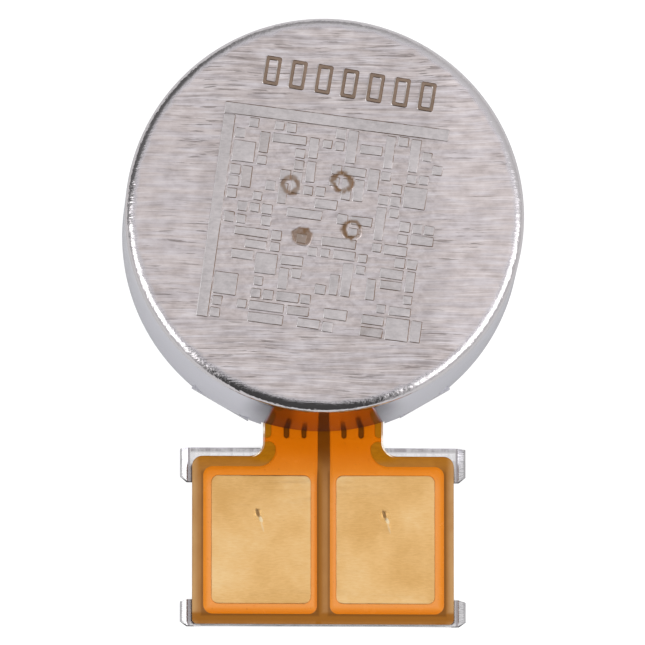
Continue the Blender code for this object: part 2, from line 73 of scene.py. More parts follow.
# copper pours and gold pads: (low x, high x), then top and bottom y
POUR_L, POUR_R = (-2.96, -0.098), (0.224, 3.095)
POUR_Y0, POUR_Y1 = -5.885, -9.635
PAD_L, PAD_R = (-2.753, -0.254), (0.380, 2.862)
PAD_Y0, PAD_Y1, PAD_CORNER = -6.115, -9.375, 0.18
DENT_L, DENT_R = (-1.575, -7.125), (1.605, -7.155)

# stiffener
STIFF_T, STIFF_HALF, STIFF_Y0, STIFF_Y1 = 0.15, 3.27, -5.465, -9.915
LIP_Y, LIP_Z = -5.390, 0.168
TAB_HALF, TAB_RISE = 3.59, 0.072
# each pair of tabs: top and bottom y at the root, then at the tip
TABS = (((-5.395, -6.255), (-5.425, -6.135)), ((-9.245, -9.915), (-9.305, -9.815)))

# etched cells on the top: a slightly skewed grid
PATTERN = (-0.05, -0.22)
U_ANGLE, V_ANGLE = radians(-7.2), radians(-7.8)
N_CELL, U_PITCH, V_PITCH = 18, 0.3145, 0.3055

# weld spots: x, y, radius, then their oxide ring: start and end of its inner edge, least strength
WELDS = [(-0.86, 0.73, 0.25, 0.36, 0.66, 0.72), (0.45, 0.81, 0.29, 0.44, 0.74, 0.10),
         (-0.56, -0.57, 0.25, -0.2, 0.12, 0.70), (0.68, -0.42, 0.27, 0.42, 0.72, 0.22)]

# leaf spring
SPRING_T, SPRING_HUB_Z, SPRING_RING_Z = 0.10, 3.347, 2.652
SPRING_HUB_R, SPRING_RING_R0, SPRING_RING_R1 = 1.22, 3.72, 4.28
SPRING_ARM_W = 0.46

# camera: tilt from straight down, turn to the left, width of the view, aim in the view plane
TILT, TURN = 9.4, -10.4
VIEW_WIDTH, AIM_RIGHT, AIM_DOWN = 16.246851, 0.049118, 2.139798
LENS, SENSOR = 1200, 36


# =====================================================================
# outlines
# =====================================================================
def arc(cx, cy, radius, start, end, steps):
    """Points from angle start to angle end, in degrees."""
    angles = [radians(start + (end - start) * k / steps) for k in range(steps + 1)]
    return [(cx + radius * cos(angle), cy + radius * sin(angle)) for angle in angles]


def rounded(corners, steps=8):
    """Outline through (x, y, radius) corners with tangent arcs."""
    outline = []
    points = [complex(x, y) for x, y, _ in corners]
    for i, (x, y, radius) in enumerate(corners):
        if radius <= 0:
            outline.append((x, y))
            continue
        corner = points[i]
        back = points[i - 1] - corner
        ahead = points[(i + 1) % len(points)] - corner
        back /= abs(back)
        ahead /= abs(ahead)
        half_angle = 0.5 * abs(phase(back.conjugate() * ahead))
        reach = radius / tan(half_angle)
        middle = back + ahead
        centre = corner + middle / abs(middle) * radius / sin(half_angle)
        start = phase(corner + back * reach - centre)
        end = phase(corner + ahead * reach - centre)
        sweep = (end - start + pi) % (2 * pi) - pi
        for k in range(steps + 1):
            angle = start + sweep * k / steps
            outline.append((centre.real + radius * cos(angle), centre.imag + radius * sin(angle)))
    return outline


def sheet_outline(x0, x1, top, bottom, top_radius, bottom_radius, steps):
    return rounded([(x0, top, top_radius), (x0, bottom, bottom_radius),
                    (x1, bottom, bottom_radius), (x1, top, top_radius)], steps)


def without_repeats(outline, gap=1e-4):
    """Drops points that lie on top of the one before."""
    kept = []
    for point in outline:
        if not kept or hypot(point[0] - kept[-1][0], point[1] - kept[-1][1]) > gap:
            kept.append(point)
    if hypot(kept[0][0] - kept[-1][0], kept[0][1] - kept[-1][1]) <= gap:
        kept.pop()
    return kept


def signed_area(outline):
    return 0.5 * sum(a[0] * b[1] - b[0] * a[1] for a, b in zip(outline, outline[1:] + outline[:1]))


def inset(outline, depth, fall=None):
    """Moves each side of a counter-clockwise outline inward; fall(x, y) may scale the depth."""
    points = [complex(x, y) for x, y in outline]
    moved = []
    for i, point in enumerate(points):
        local_depth = depth * (fall(*outline[i]) if fall else 1.0)
        before = point - points[i - 1]
        after = points[(i + 1) % len(points)] - point
        normal_before = 1j * before / (abs(before) or 1e-9)
        normal_after = 1j * after / (abs(after) or 1e-9)
        # the lower limit keeps sharp corners from shooting out
        spread = max(1.0 + (normal_before.conjugate() * normal_after).real, 0.35)
        point += local_depth * (normal_before + normal_after) / spread
        moved.append((point.real, point.imag))
    return moved


# =====================================================================
# meshes
# =====================================================================
def add_verts(bm, points):
    return [bm.verts.new((x * MM, y * MM, z * MM)) for x, y, z in points]


def make_object(bm, name, material=None, angle=30.0):
    bmesh.ops.recalc_face_normals(bm, faces=bm.faces[:])
    mesh = bpy.data.meshes.new(name)
    bm.to_mesh(mesh)
    bm.free()
    obj = bpy.data.objects.new(name, mesh)
    bpy.context.scene.collection.objects.link(obj)
    if material:
        mesh.materials.append(material)
    mesh.shade_smooth()
    mesh.set_sharp_from_angle(angle=radians(angle))
    return obj


def set_material(obj, material):
    obj.data.materials.clear()
    obj.data.materials.append(material)


def lathe(profile, segments, centre=(0.0, 0.0), wobble=None, bm=None):
    """Closed solid of revolution from (radius, z) points; wobble(angle) may scale the radius."""
    if bm is None:
        bm = bmesh.new()
    rings = []
    for radius, z in profile:
        if radius <= 1e-9:
            rings.append(add_verts(bm, [(*centre, z)]))
            continue
        points = []
        for k in range(segments):
            angle = 2 * pi * k / segments
            reach = radius * (wobble(angle) if wobble else 1.0)
            points.append((centre[0] + reach * cos(angle), centre[1] + reach * sin(angle), z))
        rings.append(add_verts(bm, points))
    for a, b in zip(rings, rings[1:] + rings[:1]):
        if len(a) == 1 and len(b) == 1:
            continue
        for k in range(segments):
            j = (k + 1) % segments
            if len(a) == 1:
                bm.faces.new((a[0], b[k], b[j]))
            elif len(b) == 1:
                bm.faces.new((a[k], b[0], a[j]))
            else:
                bm.faces.new((a[k], b[k], b[j], a[j]))
    return bm


def add_sides(bm, low, high):
    for i in range(len(low)):
        j = (i + 1) % len(low)
        bm.faces.new((low[i], low[j], high[j], high[i]))


def slab(outline, levels, holes=(), fall=None, place=None, bm=None):
    """Solid from one outline repeated at (inset, height) levels, bottom to top.

    Each hole is (outline, rise): its wall leaves the slab by rise[k] at level k.
    place(x, y) may move the finished points.
    """
    if bm is None:
        bm = bmesh.new()
    walls = [(outline, [depth for depth, _ in levels])]
    walls += [(hole, [-depth for depth in rise]) for hole, rise in holes]
    wall_rows = []
    for wall, depths in walls:
        base = without_repeats(wall)
        if signed_area(base) < 0:
            base = base[::-1]
        rows = []
        for depth, (_, z) in zip(depths, levels):
            points = inset(base, depth, fall) if abs(depth) > 1e-9 else base
            if place:
                points = [place(x, y) for x, y in points]
            rows.append(add_verts(bm, [(x, y, z) for x, y in points]))
        for low, high in zip(rows, rows[1:]):
            add_sides(bm, low, high)
        wall_rows.append(rows)
    for k in (0, -1):
        if holes:
            edges = []
            for rows in wall_rows:
                for pair in zip(rows[k], rows[k][1:] + rows[k][:1]):
                    edges.append(bm.edges.get(pair) or bm.edges.new(pair))
            bmesh.ops.triangle_fill(bm, edges=edges, use_beauty=True)
        else:
            bm.faces.new(wall_rows[0][k])
    return bm


def box(x0, x1, y0, y1, z0, z1):
    bm = bmesh.new()
    corners = ((x0, y0), (x1, y0), (x1, y1), (x0, y1))
    low = add_verts(bm, [(x, y, z0) for x, y in corners])
    high = add_verts(bm, [(x, y, z1) for x, y in corners])
    bm.faces.new(low[::-1])
    bm.faces.new(high)
    add_sides(bm, low, high)
    return bm


def cut(bm, axis, at):
    """Adds an edge loop where the mesh crosses a plane across X (0) or Y (1)."""
    point, normal = [0, 0, 0], [0, 0, 0]
    point[axis], normal[axis] = at * MM, 1
    bmesh.ops.bisect_plane(bm, geom=bm.verts[:] + bm.edges[:] + bm.faces[:], dist=1e-8,
                           plane_co=point, plane_no=normal)


def cut_series(bm, axis, start, stop, step):
    at = start
    while (at - stop) * step < 0:
        cut(bm, axis, at)
        at += step


def cut_fold(bm):
    """Cuts the film across the neck."""
    cut_series(bm, 1, -4.90, -5.62, -0.03)


def boolean(target, tool, operation="DIFFERENCE"):
    """Applies the tool object to the target and removes it."""
    modifier = target.modifiers.new("bool", "BOOLEAN")
    modifier.operation = operation
    modifier.solver = "EXACT"
    modifier.object = tool
    bpy.context.view_layer.update()
    graph = bpy.context.evaluated_depsgraph_get()
    mesh = bpy.data.meshes.new_from_object(target.evaluated_get(graph))
    target.modifiers.remove(modifier)
    old = target.data
    target.data = mesh
    mesh.name = target.name
    bpy.data.meshes.remove(old)
    bpy.data.objects.remove(tool, do_unlink=True)
    mesh.set_sharp_from_angle(angle=radians(30))


# =====================================================================
# shader graphs
# =====================================================================
def math_method(operation):
    return lambda self, *others: self.graph.math(operation, self, *others)


class Signal:
    """A node output to calculate with; each operation adds one node."""

    def __init__(self, graph, socket):
        self.graph = graph
        self.socket = socket

    __add__ = math_method("ADD")
    __sub__ = math_method("SUBTRACT")
    __mul__ = math_method("MULTIPLY")
    __truediv__ = math_method("DIVIDE")
    __pow__ = math_method("POWER")
    __abs__ = math_method("ABSOLUTE")
    maximum = math_method("MAXIMUM")
    minimum = math_method("MINIMUM")
    affine = math_method("MULTIPLY_ADD")        # arguments: factor, offset

    def __rsub__(self, other):
        return self.graph.math("SUBTRACT", other, self)

    def step(self, low, high, start=0.0, end=1.0):
        """Smooth step: start where the signal is at low, end where it is at high."""
        inputs = dict(enumerate((self, low, high, start, end)))
        return self.graph.add("MapRange", inputs, interpolation_type="SMOOTHSTEP")

    def fall(self, low, high):
        return self.step(low, high, 1.0, 0.0)

    def length(self):
        return self.graph.add("VectorMath", {0: self}, "Value", operation="LENGTH")

    def distance(self, point):
        return self.graph.add("VectorMath", {0: self, 1: point}, "Value", operation="DISTANCE")

    def scaled(self, factor):
        return self.graph.add("VectorMath", {0: self, "Scale": factor}, operation="SCALE")


class Graph:
    """Adds nodes to a node tree and hands back their outputs as signals."""

    def __init__(self, tree):
        self.tree = tree

    def connect(self, socket, value):
        """Links a signal to the socket, or stores a plain value in it."""
        if isinstance(value, Signal):
            self.tree.links.new(value.socket, socket)
        elif isinstance(value, tuple) and len(value) == 3 and len(socket.default_value) == 4:
            socket.default_value = (*value, 1.0)
        else:
            socket.default_value = value

    def add(self, kind, inputs=None, output=0, **settings):
        """Adds a node; inputs and output go by a socket's name or index."""
        node = self.tree.nodes.new("ShaderNode" + kind)
        for key, value in settings.items():
            setattr(node, key, value)
        for key, value in (inputs or {}).items():
            self.connect(node.inputs[key], value)
        return Signal(self, node.outputs[output])

    def math(self, operation, first, second=0.0, third=0.0):
        return self.add("Math", {0: first, 1: second, 2: third}, operation=operation)

    def split(self, vector):
        node = self.add("SeparateXYZ", {0: vector}).socket.node
        return [Signal(self, socket) for socket in node.outputs]


class Look(Graph):
    """Node graph of one Principled material; positions are in millimetres."""

    SOCKETS = {"colour": "Base Color", "rough": "Roughness", "normal": "Normal",
               "coat": "Coat Weight", "spec": "Specular IOR Level",
               "emit": "Emission Color", "emit_strength": "Emission Strength"}

    def __init__(self, name, rough=0.4, metal=0.0, colour=(0.5, 0.5, 0.5)):
        self.material = bpy.data.materials.new(name)
        self.material.use_nodes = True
        super().__init__(self.material.node_tree)
        self.bsdf = self.tree.nodes["Principled BSDF"]
        self.bsdf.inputs["Base Color"].default_value = (*colour, 1)
        self.bsdf.inputs["Roughness"].default_value = rough
        self.bsdf.inputs["Metallic"].default_value = metal
        self.material.diffuse_color = (*colour, 1)
        objectwise = self.add("TexCoord", output="Object")
        self.coordinates = objectwise.socket.node
        self.position = objectwise.scaled(1000.0)

    def flat_position(self):
        return self.add("VectorMath", {0: self.position, 1: (1, 1, 0)}, operation="MULTIPLY")

    def noise(self, scale=(1, 1, 1), size=1.0, detail=3.0, rough=0.5, offset=(0, 0, 0),
              turn=0.0, vector=None):
        mapped = self.add("Mapping", {"Rotation": (0, 0, radians(turn)), "Scale": scale,
                                      "Location": offset, "Vector": vector or self.position})
        return self.add("TexNoise", {"Scale": size, "Detail": detail, "Roughness": rough,
                                     "Vector": mapped}, "Fac")

    def cells(self, size):
        mapped = self.add("Mapping", {"Vector": self.position})
        return self.add("TexVoronoi", {"Scale": size, "Vector": mapped}, "Distance")

    def mix(self, factor, a, b, mode="MIX"):
        """Mixes two colours."""
        return self.add("Mix", {0: factor, 6: a, 7: b}, 2, data_type="RGBA", blend_type=mode)

    def blend(self, factor, a, b):
        """Mixes two numbers."""
        return self.add("Mix", {0: factor, 2: a, 3: b}, data_type="FLOAT")

    def ramp(self, factor, *stops):
        """Colour ramp through three (position, colour) stops."""
        ramp = self.add("ValToRGB", {0: factor})
        elements = ramp.socket.node.color_ramp.elements
        elements.new(0.5)
        for element, (position, colour) in zip(elements, stops):
            element.position = position
            element.color = (*colour, 1)
        return ramp

    def bump(self, height, mm, strength=1.0, normal=None):
        """Bump from a height of 0..1 that stands for mm millimetres."""
        inputs = {"Strength": strength, "Distance": mm * MM, "Height": height}
        if normal:
            inputs["Normal"] = normal
        return self.add("Bump", inputs)

    def surface(self, **values):
        """Connects the results to the Principled shader and returns the material."""
        for key, value in values.items():
            self.connect(self.bsdf.inputs[self.SOCKETS[key]], value)
        return self.material


# =====================================================================
# materials
# =====================================================================
def weld_tint(g, flat):
    """Broken oxide rings round the weld spots, 0..1."""
    tint = None
    ragged = g.noise(size=4.2, detail=2, rough=0.5, offset=(3, 6, 2))
    broken = g.noise(size=2.1, detail=3, rough=0.6, offset=(5, 5, 1)).step(0.42, 0.54)
    for x, y, radius, low, high, least in WELDS:
        reach = flat.distance((x, y, 0)) / radius + ragged.affine(0.9, -0.45)
        ring = reach.step(low, high) * reach.fall(0.82, 1.14)
        ring = ring * broken.affine(0.92 - least, least)
        tint = tint.maximum(ring) if tint else ring
    return tint


def case_look():
    """Brushed top, mottled rim, polished wall and oxide rings round the weld spots."""
    g = Look("case_stainless", metal=1.0, colour=(0.6, 0.57, 0.57))
    x, y, z = g.split(g.position)
    flat = g.flat_position()
    radius = flat.length()

    # zones: the flat top with a ragged border, and the rim round it
    border = radius + g.noise(size=3.0, detail=3, rough=0.6).affine(0.20, -0.10)
    high = z.step(CASE_H - 0.20, CASE_H - 0.11)
    top = border.fall(4.68, 4.88) * high
    rim = z.step(CASE_H - 0.32, CASE_H - 0.23) * (1.0 - top)

    # brushed lines run almost along X and wander a little
    shift = g.noise(scale=(0.30, 0.55, 0.5), size=1.0, detail=1).affine(0.34, -0.17)
    bent = g.add("CombineXYZ", {0: x, 1: y + shift, 2: z})
    long_lines = g.noise(scale=(0.34, 11.0, 0.3), detail=4, rough=0.68, vector=bent)
    fine_lines = g.noise(scale=(1.2, 24.0, 0.3), detail=3, rough=0.7, vector=bent, offset=(3, 7, 0))
    hair = g.noise(scale=(0.8, 33.0, 0.3), detail=2, rough=0.5, vector=bent,
                   offset=(6, 3, 0), turn=1.5)
    short_lines = g.noise(scale=(1.0, 17.0, 0.3), detail=3, rough=0.6, vector=bent,
                          offset=(9, 2, 0), turn=2)
    patch = g.noise(scale=(0.5, 0.8, 0.3), size=0.9, detail=3, offset=(4, 1, 0))
    blotch = g.noise(scale=(2.2, 3.2, 0.3), size=1.0, detail=4, rough=0.6, offset=(2, 8, 0))
    warm = g.noise(scale=(0.7, 6.0, 0.3), size=1.0, detail=3, offset=(1, 4, 0), vector=bent)
    scratch = short_lines.step(0.585, 0.66) * patch.step(0.40, 0.58)
    shine = hair.step(0.60, 0.68) * 0.75
    lines = long_lines * 0.45 + (fine_lines * 0.35 + hair * 0.20)

    # the square of etched cells; the factors are sines and cosines of its skewed axes
    from_x = x + -PATTERN[0]
    from_y = y + -PATTERN[1]
    along_u = abs(from_x * 0.992 - from_y * 0.1253)
    along_v = abs(from_x * 0.1357 + from_y * 0.9907)
    field = along_u.fall(2.70, 2.84) * along_v.fall(2.62, 2.76)
    pitted = g.noise(scale=(1.0, 1.6, 0.3), size=4.5, detail=4, rough=0.65, offset=(4, 4, 2))

    # warm grey steel with lighter and darker streaks, fainter inside the square
    depth = g.blend(field, abs(y).step(1.8, 3.4).affine(0.75, 0.65), 0.42)
    streaks = (lines - 0.5).affine(depth, 0.5)
    clouds = g.blend(field, blotch, (pitted - 0.5).affine(1.25, 0.50))
    tone = g.ramp(streaks * 0.72 + clouds * 0.28, (0.38, (0.395, 0.350, 0.342)),
                  (0.50, (0.605, 0.553, 0.551)), (0.62, (0.780, 0.736, 0.742)))
    tone = g.mix(warm.step(0.40, 0.62), g.mix(0.5, tone, (1.03, 0.985, 0.955), "MULTIPLY"),
                 g.mix(0.5, tone, (0.985, 0.99, 1.03), "MULTIPLY"))
    tone = g.mix(shine * 0.45, tone, (0.84, 0.80, 0.81))
    scratch = scratch * g.blend(field, 1.0, 0.35)
    tone = g.mix(scratch * 0.85, tone, (0.315, 0.268, 0.256))
    tint = weld_tint(g, flat)
    tone = g.mix(tint, tone, (0.215, 0.118, 0.050))
    # the steel beside the etched square is brighter, most of all on the right
    flank = x.step(-3.4, -2.7, 0.07, 0.0) + x.step(2.5, 3.3, 0.0, 0.16)
    flank = flank + abs(y).step(2.9, 3.6, 0.0, 0.03)
    tone = tone.scaled(flank + 1.0)
    wall_tone = (0.580, 0.576, 0.648)
    rim_tone = (0.625, 0.598, 0.605)
    colour = g.mix(rim, g.mix(top, wall_tone, tone), rim_tone)

    # roughness; the foot of the wall is duller, most of all beside the neck
    rough_top = lines.affine(0.30, 0.20)
    rough_wall = g.noise(size=1.5, detail=3).affine(0.08, 0.035)
    near_neck = abs(x).fall(1.3, 2.0) * y.step(-4.2, -4.6)
    foot = z.step(0.4, 2.6, 1.0, 0.15) * near_neck.affine(0.12, 0.04)
    rough = g.blend(tint, g.blend(top, rough_wall, rough_top) + foot, 0.55)

    # relief: grooves on the flat, small dimples on the rim, almost none on the wall
    grooves = long_lines * 0.60 + fine_lines * 0.45
    grooves = g.blend(field, grooves, grooves * 0.35 + pitted * 0.55) - scratch * 0.4
    fine_dimples = g.noise(size=9.0, detail=2, rough=0.5)
    dimples = g.noise(scale=(1, 1, 2.2), size=4.2, detail=3, rough=0.55, offset=(1, 3, 2))
    rim_height = fine_dimples * 0.40 + dimples * 0.75
    rim_height = rim_height + (fine_lines * radius.step(4.95, 4.72)) * 0.7
    swell = g.noise(scale=(1, 1, 0.4), size=1.3, detail=2, offset=(6, 6, 6))
    normal = g.bump(grooves * top, mm=0.013)
    normal = g.bump(rim_height * rim, mm=0.018, normal=normal)
    return g.surface(colour=colour, rough=rough, normal=g.bump(swell, mm=0.006, normal=normal))


def etched_look(name, flat_tone, edge_tone, edge_amount, relief):
    """Etched steel: matte and even on the flat, oxide-brown on the bevelled outline, with a painted
    highlight where the bevel faces left.
    """
    g = Look(name, metal=1.0, colour=flat_tone)
    _, y, z = g.split(g.position)
    facing_x = g.split(Signal(g, g.coordinates.outputs["Normal"]))[0]
    fine = g.noise(scale=(3.0, 12.0, 1), size=2.0, detail=3, rough=0.6, turn=-8)
    speck = g.noise(size=14.0, detail=2, rough=0.6, offset=(5, 1, 0))
    cloud = g.noise(size=0.9, detail=3, offset=(2, 6, 0))
    dust = g.noise(scale=(1.0, 1.4, 1), size=5.5, detail=4, rough=0.7, offset=(7, 2, 5))
    tone = g.ramp(fine * 0.25 + (cloud * 0.30 + dust * 0.45),
                  (0.36, tuple(c * 0.80 for c in flat_tone)), (0.50, flat_tone),
                  (0.64, tuple(c * 1.17 for c in flat_tone)))
    # the bevel is burnt brown in places; where it faces left it gets a painted highlight instead
    rise = z - CASE_H
    bevel = rise.step(0.0005, 0.0015) * rise.fall(relief * 0.80, relief * 0.97)
    broken = g.noise(size=2.2, detail=3, rough=0.6, offset=(1, 9, 4)).step(0.36, 0.58)
    burnt = bevel * broken.affine(edge_amount, y.step(-1.2, -2.4, 0.20, 0.42))
    # mask for the painted highlight on the bevel where it faces left
    left = bevel * facing_x.fall(-0.22, -0.12)
    burnt = burnt * left.affine(-0.85, 1.0)
    tone = g.mix(burnt, tone, edge_tone)
    # painted highlight on the left-facing bevel
    tone = g.mix(left * 0.8, tone, (0.90, 0.87, 0.87))
    tone = g.mix(weld_tint(g, g.flat_position()) * 0.9, tone, (0.215, 0.125, 0.060))
    return g.surface(colour=tone, rough=fine.affine(0.12, 0.34),
                     normal=g.bump(fine * 0.6 + speck * 0.4, mm=0.0022))


def metal_look(name, base, light, dark, rough=(0.18, 0.38), grain=(2.0, 2.0, 2.0),
               relief=0.003, spots=0.25):
    """Sheet or machined metal with fine grain, blotches and small pits."""
    g = Look(name, metal=1.0, colour=base)
    fine = g.noise(scale=grain, size=6.0, detail=4, rough=0.6)
    blotches = g.noise(size=1.1, detail=3, offset=(3, 1, 5))
    pits = g.cells(size=7.0).fall(0.05, 0.16)
    tone = g.ramp(fine * 0.6 + blotches * 0.4, (0.3, dark), (0.52, base), (0.74, light))
    tone = g.mix(pits * spots, tone, dark)
    return g.surface(colour=tone, rough=fine.affine(rough[1] - rough[0], rough[0]),
                     normal=g.bump(fine - pits * 0.6, mm=relief))


def plate_look():
    """Stainless strip with a fine grain; painted shade along its turned-up top edge, at the tabs'
    bends and tips and on the right tabs; painted highlights below the edge and on the tabs.
    """
    g = Look("stiffener_stainless", metal=1.0, colour=(0.66, 0.64, 0.655))
    x, y, _ = g.split(g.position)
    grain = g.noise(scale=(1.0, 7.0, 2.0), size=5.0, detail=4, rough=0.6, turn=3)
    blotches = g.noise(size=1.3, detail=3, offset=(3, 1, 5))
    mottle = g.noise(scale=(5.0, 1.6, 1.0), size=1.2, detail=3, rough=0.65, offset=(2, 4, 6))
    tone = g.ramp(grain * 0.55 + blotches * 0.45, (0.34, (0.590, 0.578, 0.582)),
                  (0.50, (0.712, 0.700, 0.704)), (0.66, (0.825, 0.814, 0.818)))
    # painted shade along the turned-up top edge, with a painted highlight band below it
    edge = y.step(-5.505, -5.475) * abs(x - TAIL_CX).step(3.34, 3.30)
    # painted shade along the top edge, mottled
    tone = g.mix(edge * mottle.step(0.34, 0.62, 0.95, 0.25), tone, (0.425, 0.402, 0.414))
    highlight_band = y.step(-5.505, -5.525) * y.step(-5.72, -5.68)
    # painted highlight band below the edge, mottled
    tone = g.mix(highlight_band * mottle.step(0.36, 0.60, 0.45, 1.0), tone, (0.920, 0.908, 0.912))
    # painted shade along the bend at the root of the corner tabs
    side = abs(x - TAIL_CX)
    bend_shade = side.step(3.325, 3.355) * side.step(3.405, 3.385)
    tone = g.mix(bend_shade * 0.75, tone, (0.330, 0.300, 0.315))
    # painted highlight on the tabs, strongest on the left, and painted shade on their tips
    tabs = side.step(3.395, 3.42)
    tone = g.mix(tabs * x.step(-1.0, 1.0, 0.6, 0.1), tone, (0.88, 0.872, 0.875))
    tip_shade = side.step(3.515, 3.545).maximum(y.step(-5.475, -5.440))
    tone = g.mix((tip_shade * tabs) * mottle.step(0.34, 0.62, 0.85, 0.45), tone, (0.480, 0.468, 0.473))
    # painted shade: the tabs are darkened, far more on the right
    tone = tone.scaled(tabs.affine(x.step(-1.0, 1.0, -0.06, -0.30), 1.0))
    return g.surface(colour=tone, rough=grain.affine(0.16, 0.12) + tabs * -0.06,
                     normal=g.bump(grain, mm=0.0015))


def outside(x, y, spans, top, bottom):
    """Distance outside the nearer of two boxes that share their top and bottom."""
    left, right = [abs(x - (low + high) / 2) - (high - low) / 2 for low, high in spans]
    return left.minimum(right).maximum((y - top).maximum(bottom - y))


def paint_over_copper(g, x, y, z, side, along, mottle, fine):
    """Colour, roughness and specular level of film with copper under it."""
    near = g.mix(mottle, (0.500, 0.112, 0.0006), (0.570, 0.142, 0.0010))
    far = g.mix(mottle, (0.560, 0.170, 0.0040), (0.630, 0.205, 0.0120))
    colour = g.mix(along, near, far)
    # painted sheen close round the pads, where the film steps down to the gold; it fades out
    # towards the motor
    painted_sheen = outside(x, y, (PAD_L, PAD_R), PAD_Y0, PAD_Y1).fall(0.02, 0.20)
    colour = g.mix(painted_sheen * y.step(-6.0, -6.5, 0.05, 1.0), colour, (0.615, 0.228, 0.048))
    colour = g.mix(fine.step(0.58, 0.78, 0.0, 0.30), colour, (0.50, 0.115, 0.001))
    # painted shade at the copper's right and lower borders and along the strip between the pours
    strip = x.step(-0.20, -0.11) * x.fall(0.0, 0.1)
    border_shade = x.step(3.00, 3.09, 0.0, 0.6).maximum(y.step(-9.46, -9.61)).maximum(strip)
    colour = g.mix((border_shade * along) * 0.80, colour, (0.500, 0.128, 0.0008))
    return colour, mottle.affine(0.12, 0.20), g.blend(along, 0.03, 0.16)


def paint_bare(g, x, y, z, side, along, mottle, fine):
    """Colour, roughness and specular level of film with nothing under it."""
    near = g.mix(mottle, (0.105, 0.026, 0.0006), (0.150, 0.042, 0.0014))
    # beyond the copper the neck is clear film over nothing, and reads olive
    clear = g.mix(fine, (0.230, 0.078, 0.0008), (0.400, 0.150, 0.0040))
    near = g.mix(side.step(1.08, 1.22), near, clear)
    far = g.mix(mottle, (0.250, 0.108, 0.0280), (0.335, 0.158, 0.0470))
    colour = g.mix(along, near, far)
    corner = side.step(1.05, 1.18) * (side.step(2.00, 1.60) * y.step(-5.86, -5.68))
    colour = g.mix(corner, colour, clear)
    # between those patches the copper's colour runs out to the film's edge
    gap = y.step(-5.270, -5.245) * y.step(-5.140, -5.165) * side.step(1.36, 1.42)
    colour = g.mix(gap, colour, (0.500, 0.112, 0.0006))
    # paler towards the free side edges
    edge = side.step(3.08, 3.28) * g.noise(size=1.6, detail=2).step(0.30, 0.62, 0.55, 1.0)
    colour = g.mix(edge, colour, (0.400, 0.232, 0.095))
    # painted shade to the right of the copper, below it and between the pours
    right = x.step(3.10, 3.24, 0.8, 0.0) * x.step(2.8, 2.9)
    below = y.step(-9.55, -9.65) * y.step(-9.77, -9.90, 1.0, 0.45)
    between = x.step(-0.2, -0.1) * x.fall(-0.03, 0.09)
    border_shade = right.maximum(below).maximum(between)
    colour = g.mix((border_shade * along) * 0.88, colour, (0.225, 0.076, 0.0016))
    # painted shade where the film steps up over the copper's border
    border = outside(x, y, (POUR_L, POUR_R), POUR_Y0, POUR_Y1).fall(0.020, 0.085)
    colour = g.mix((border * y.step(-5.9, -6.1)) * 0.55, colour, (0.115, 0.036, 0.0016))
    # cut edges round the neck's corners catch the light
    cut_edge = z.step(0.292, 0.300) * z.step(0.3178, 0.3165)
    root = y.step(-5.74, -5.64) * side.step(1.34, 1.42) * side.step(1.80, 1.66)
    uneven = g.noise(size=3.2, detail=2, offset=(2, 2, 7)).step(0.42, 0.58, 0.25, 1.0)
    colour = g.mix(((cut_edge * root) * uneven) * 0.9, colour, (0.93, 0.86, 0.72))
    return colour, mottle.affine(0.14, 0.24), g.blend(along, 0.03, 0.11)


def film_look(name, paint):
    """Amber circuit film, coloured by one of the paint functions above."""
    g = Look(name, colour=(0.4, 0.2, 0.04))
    x, y, z = g.split(g.position)
    mottle = g.noise(size=2.2, detail=4, rough=0.55)
    fine = g.noise(scale=(3, 9, 3), size=1.6, detail=3, rough=0.6, offset=(4, 4, 4))
    waves = g.noise(scale=(0.8, 1.1, 1), size=1.0, detail=2, offset=(1, 7, 3))
    speck = g.noise(size=9.0, detail=2, rough=0.7, offset=(8, 3, 2)).step(0.66, 0.74)
    along = y.step(-5.3, -6.5)            # 0 at the motor, 1 on the tail
    side = abs(x - TAIL_CX)
    colour, rough, spec = paint(g, x, y, z, side, along, mottle, fine)
    colour = g.mix(speck * 0.25, colour, (0.20, 0.06, 0.004))
    # painted shade for reflections: seen mirrored in the wall, the neck is painted darker and
    # redder, most of all at its left edge
    mirrored_shade = g.mix(side.step(0.35, 1.15), (0.790, 0.620, 0.640), (0.610, 0.475, 0.600))
    mirrored_shade = mirrored_shade.scaled(x.step(-1.05, -0.60, 0.70, 1.0))
    colour = g.mix(g.add("LightPath", output="Is Glossy Ray"), colour,
                   g.mix(1.0, colour, mirrored_shade, "MULTIPLY"))
    return g.surface(colour=colour, rough=rough, spec=spec,
                     normal=g.bump(waves * 0.7 + fine * 0.12, mm=0.020))


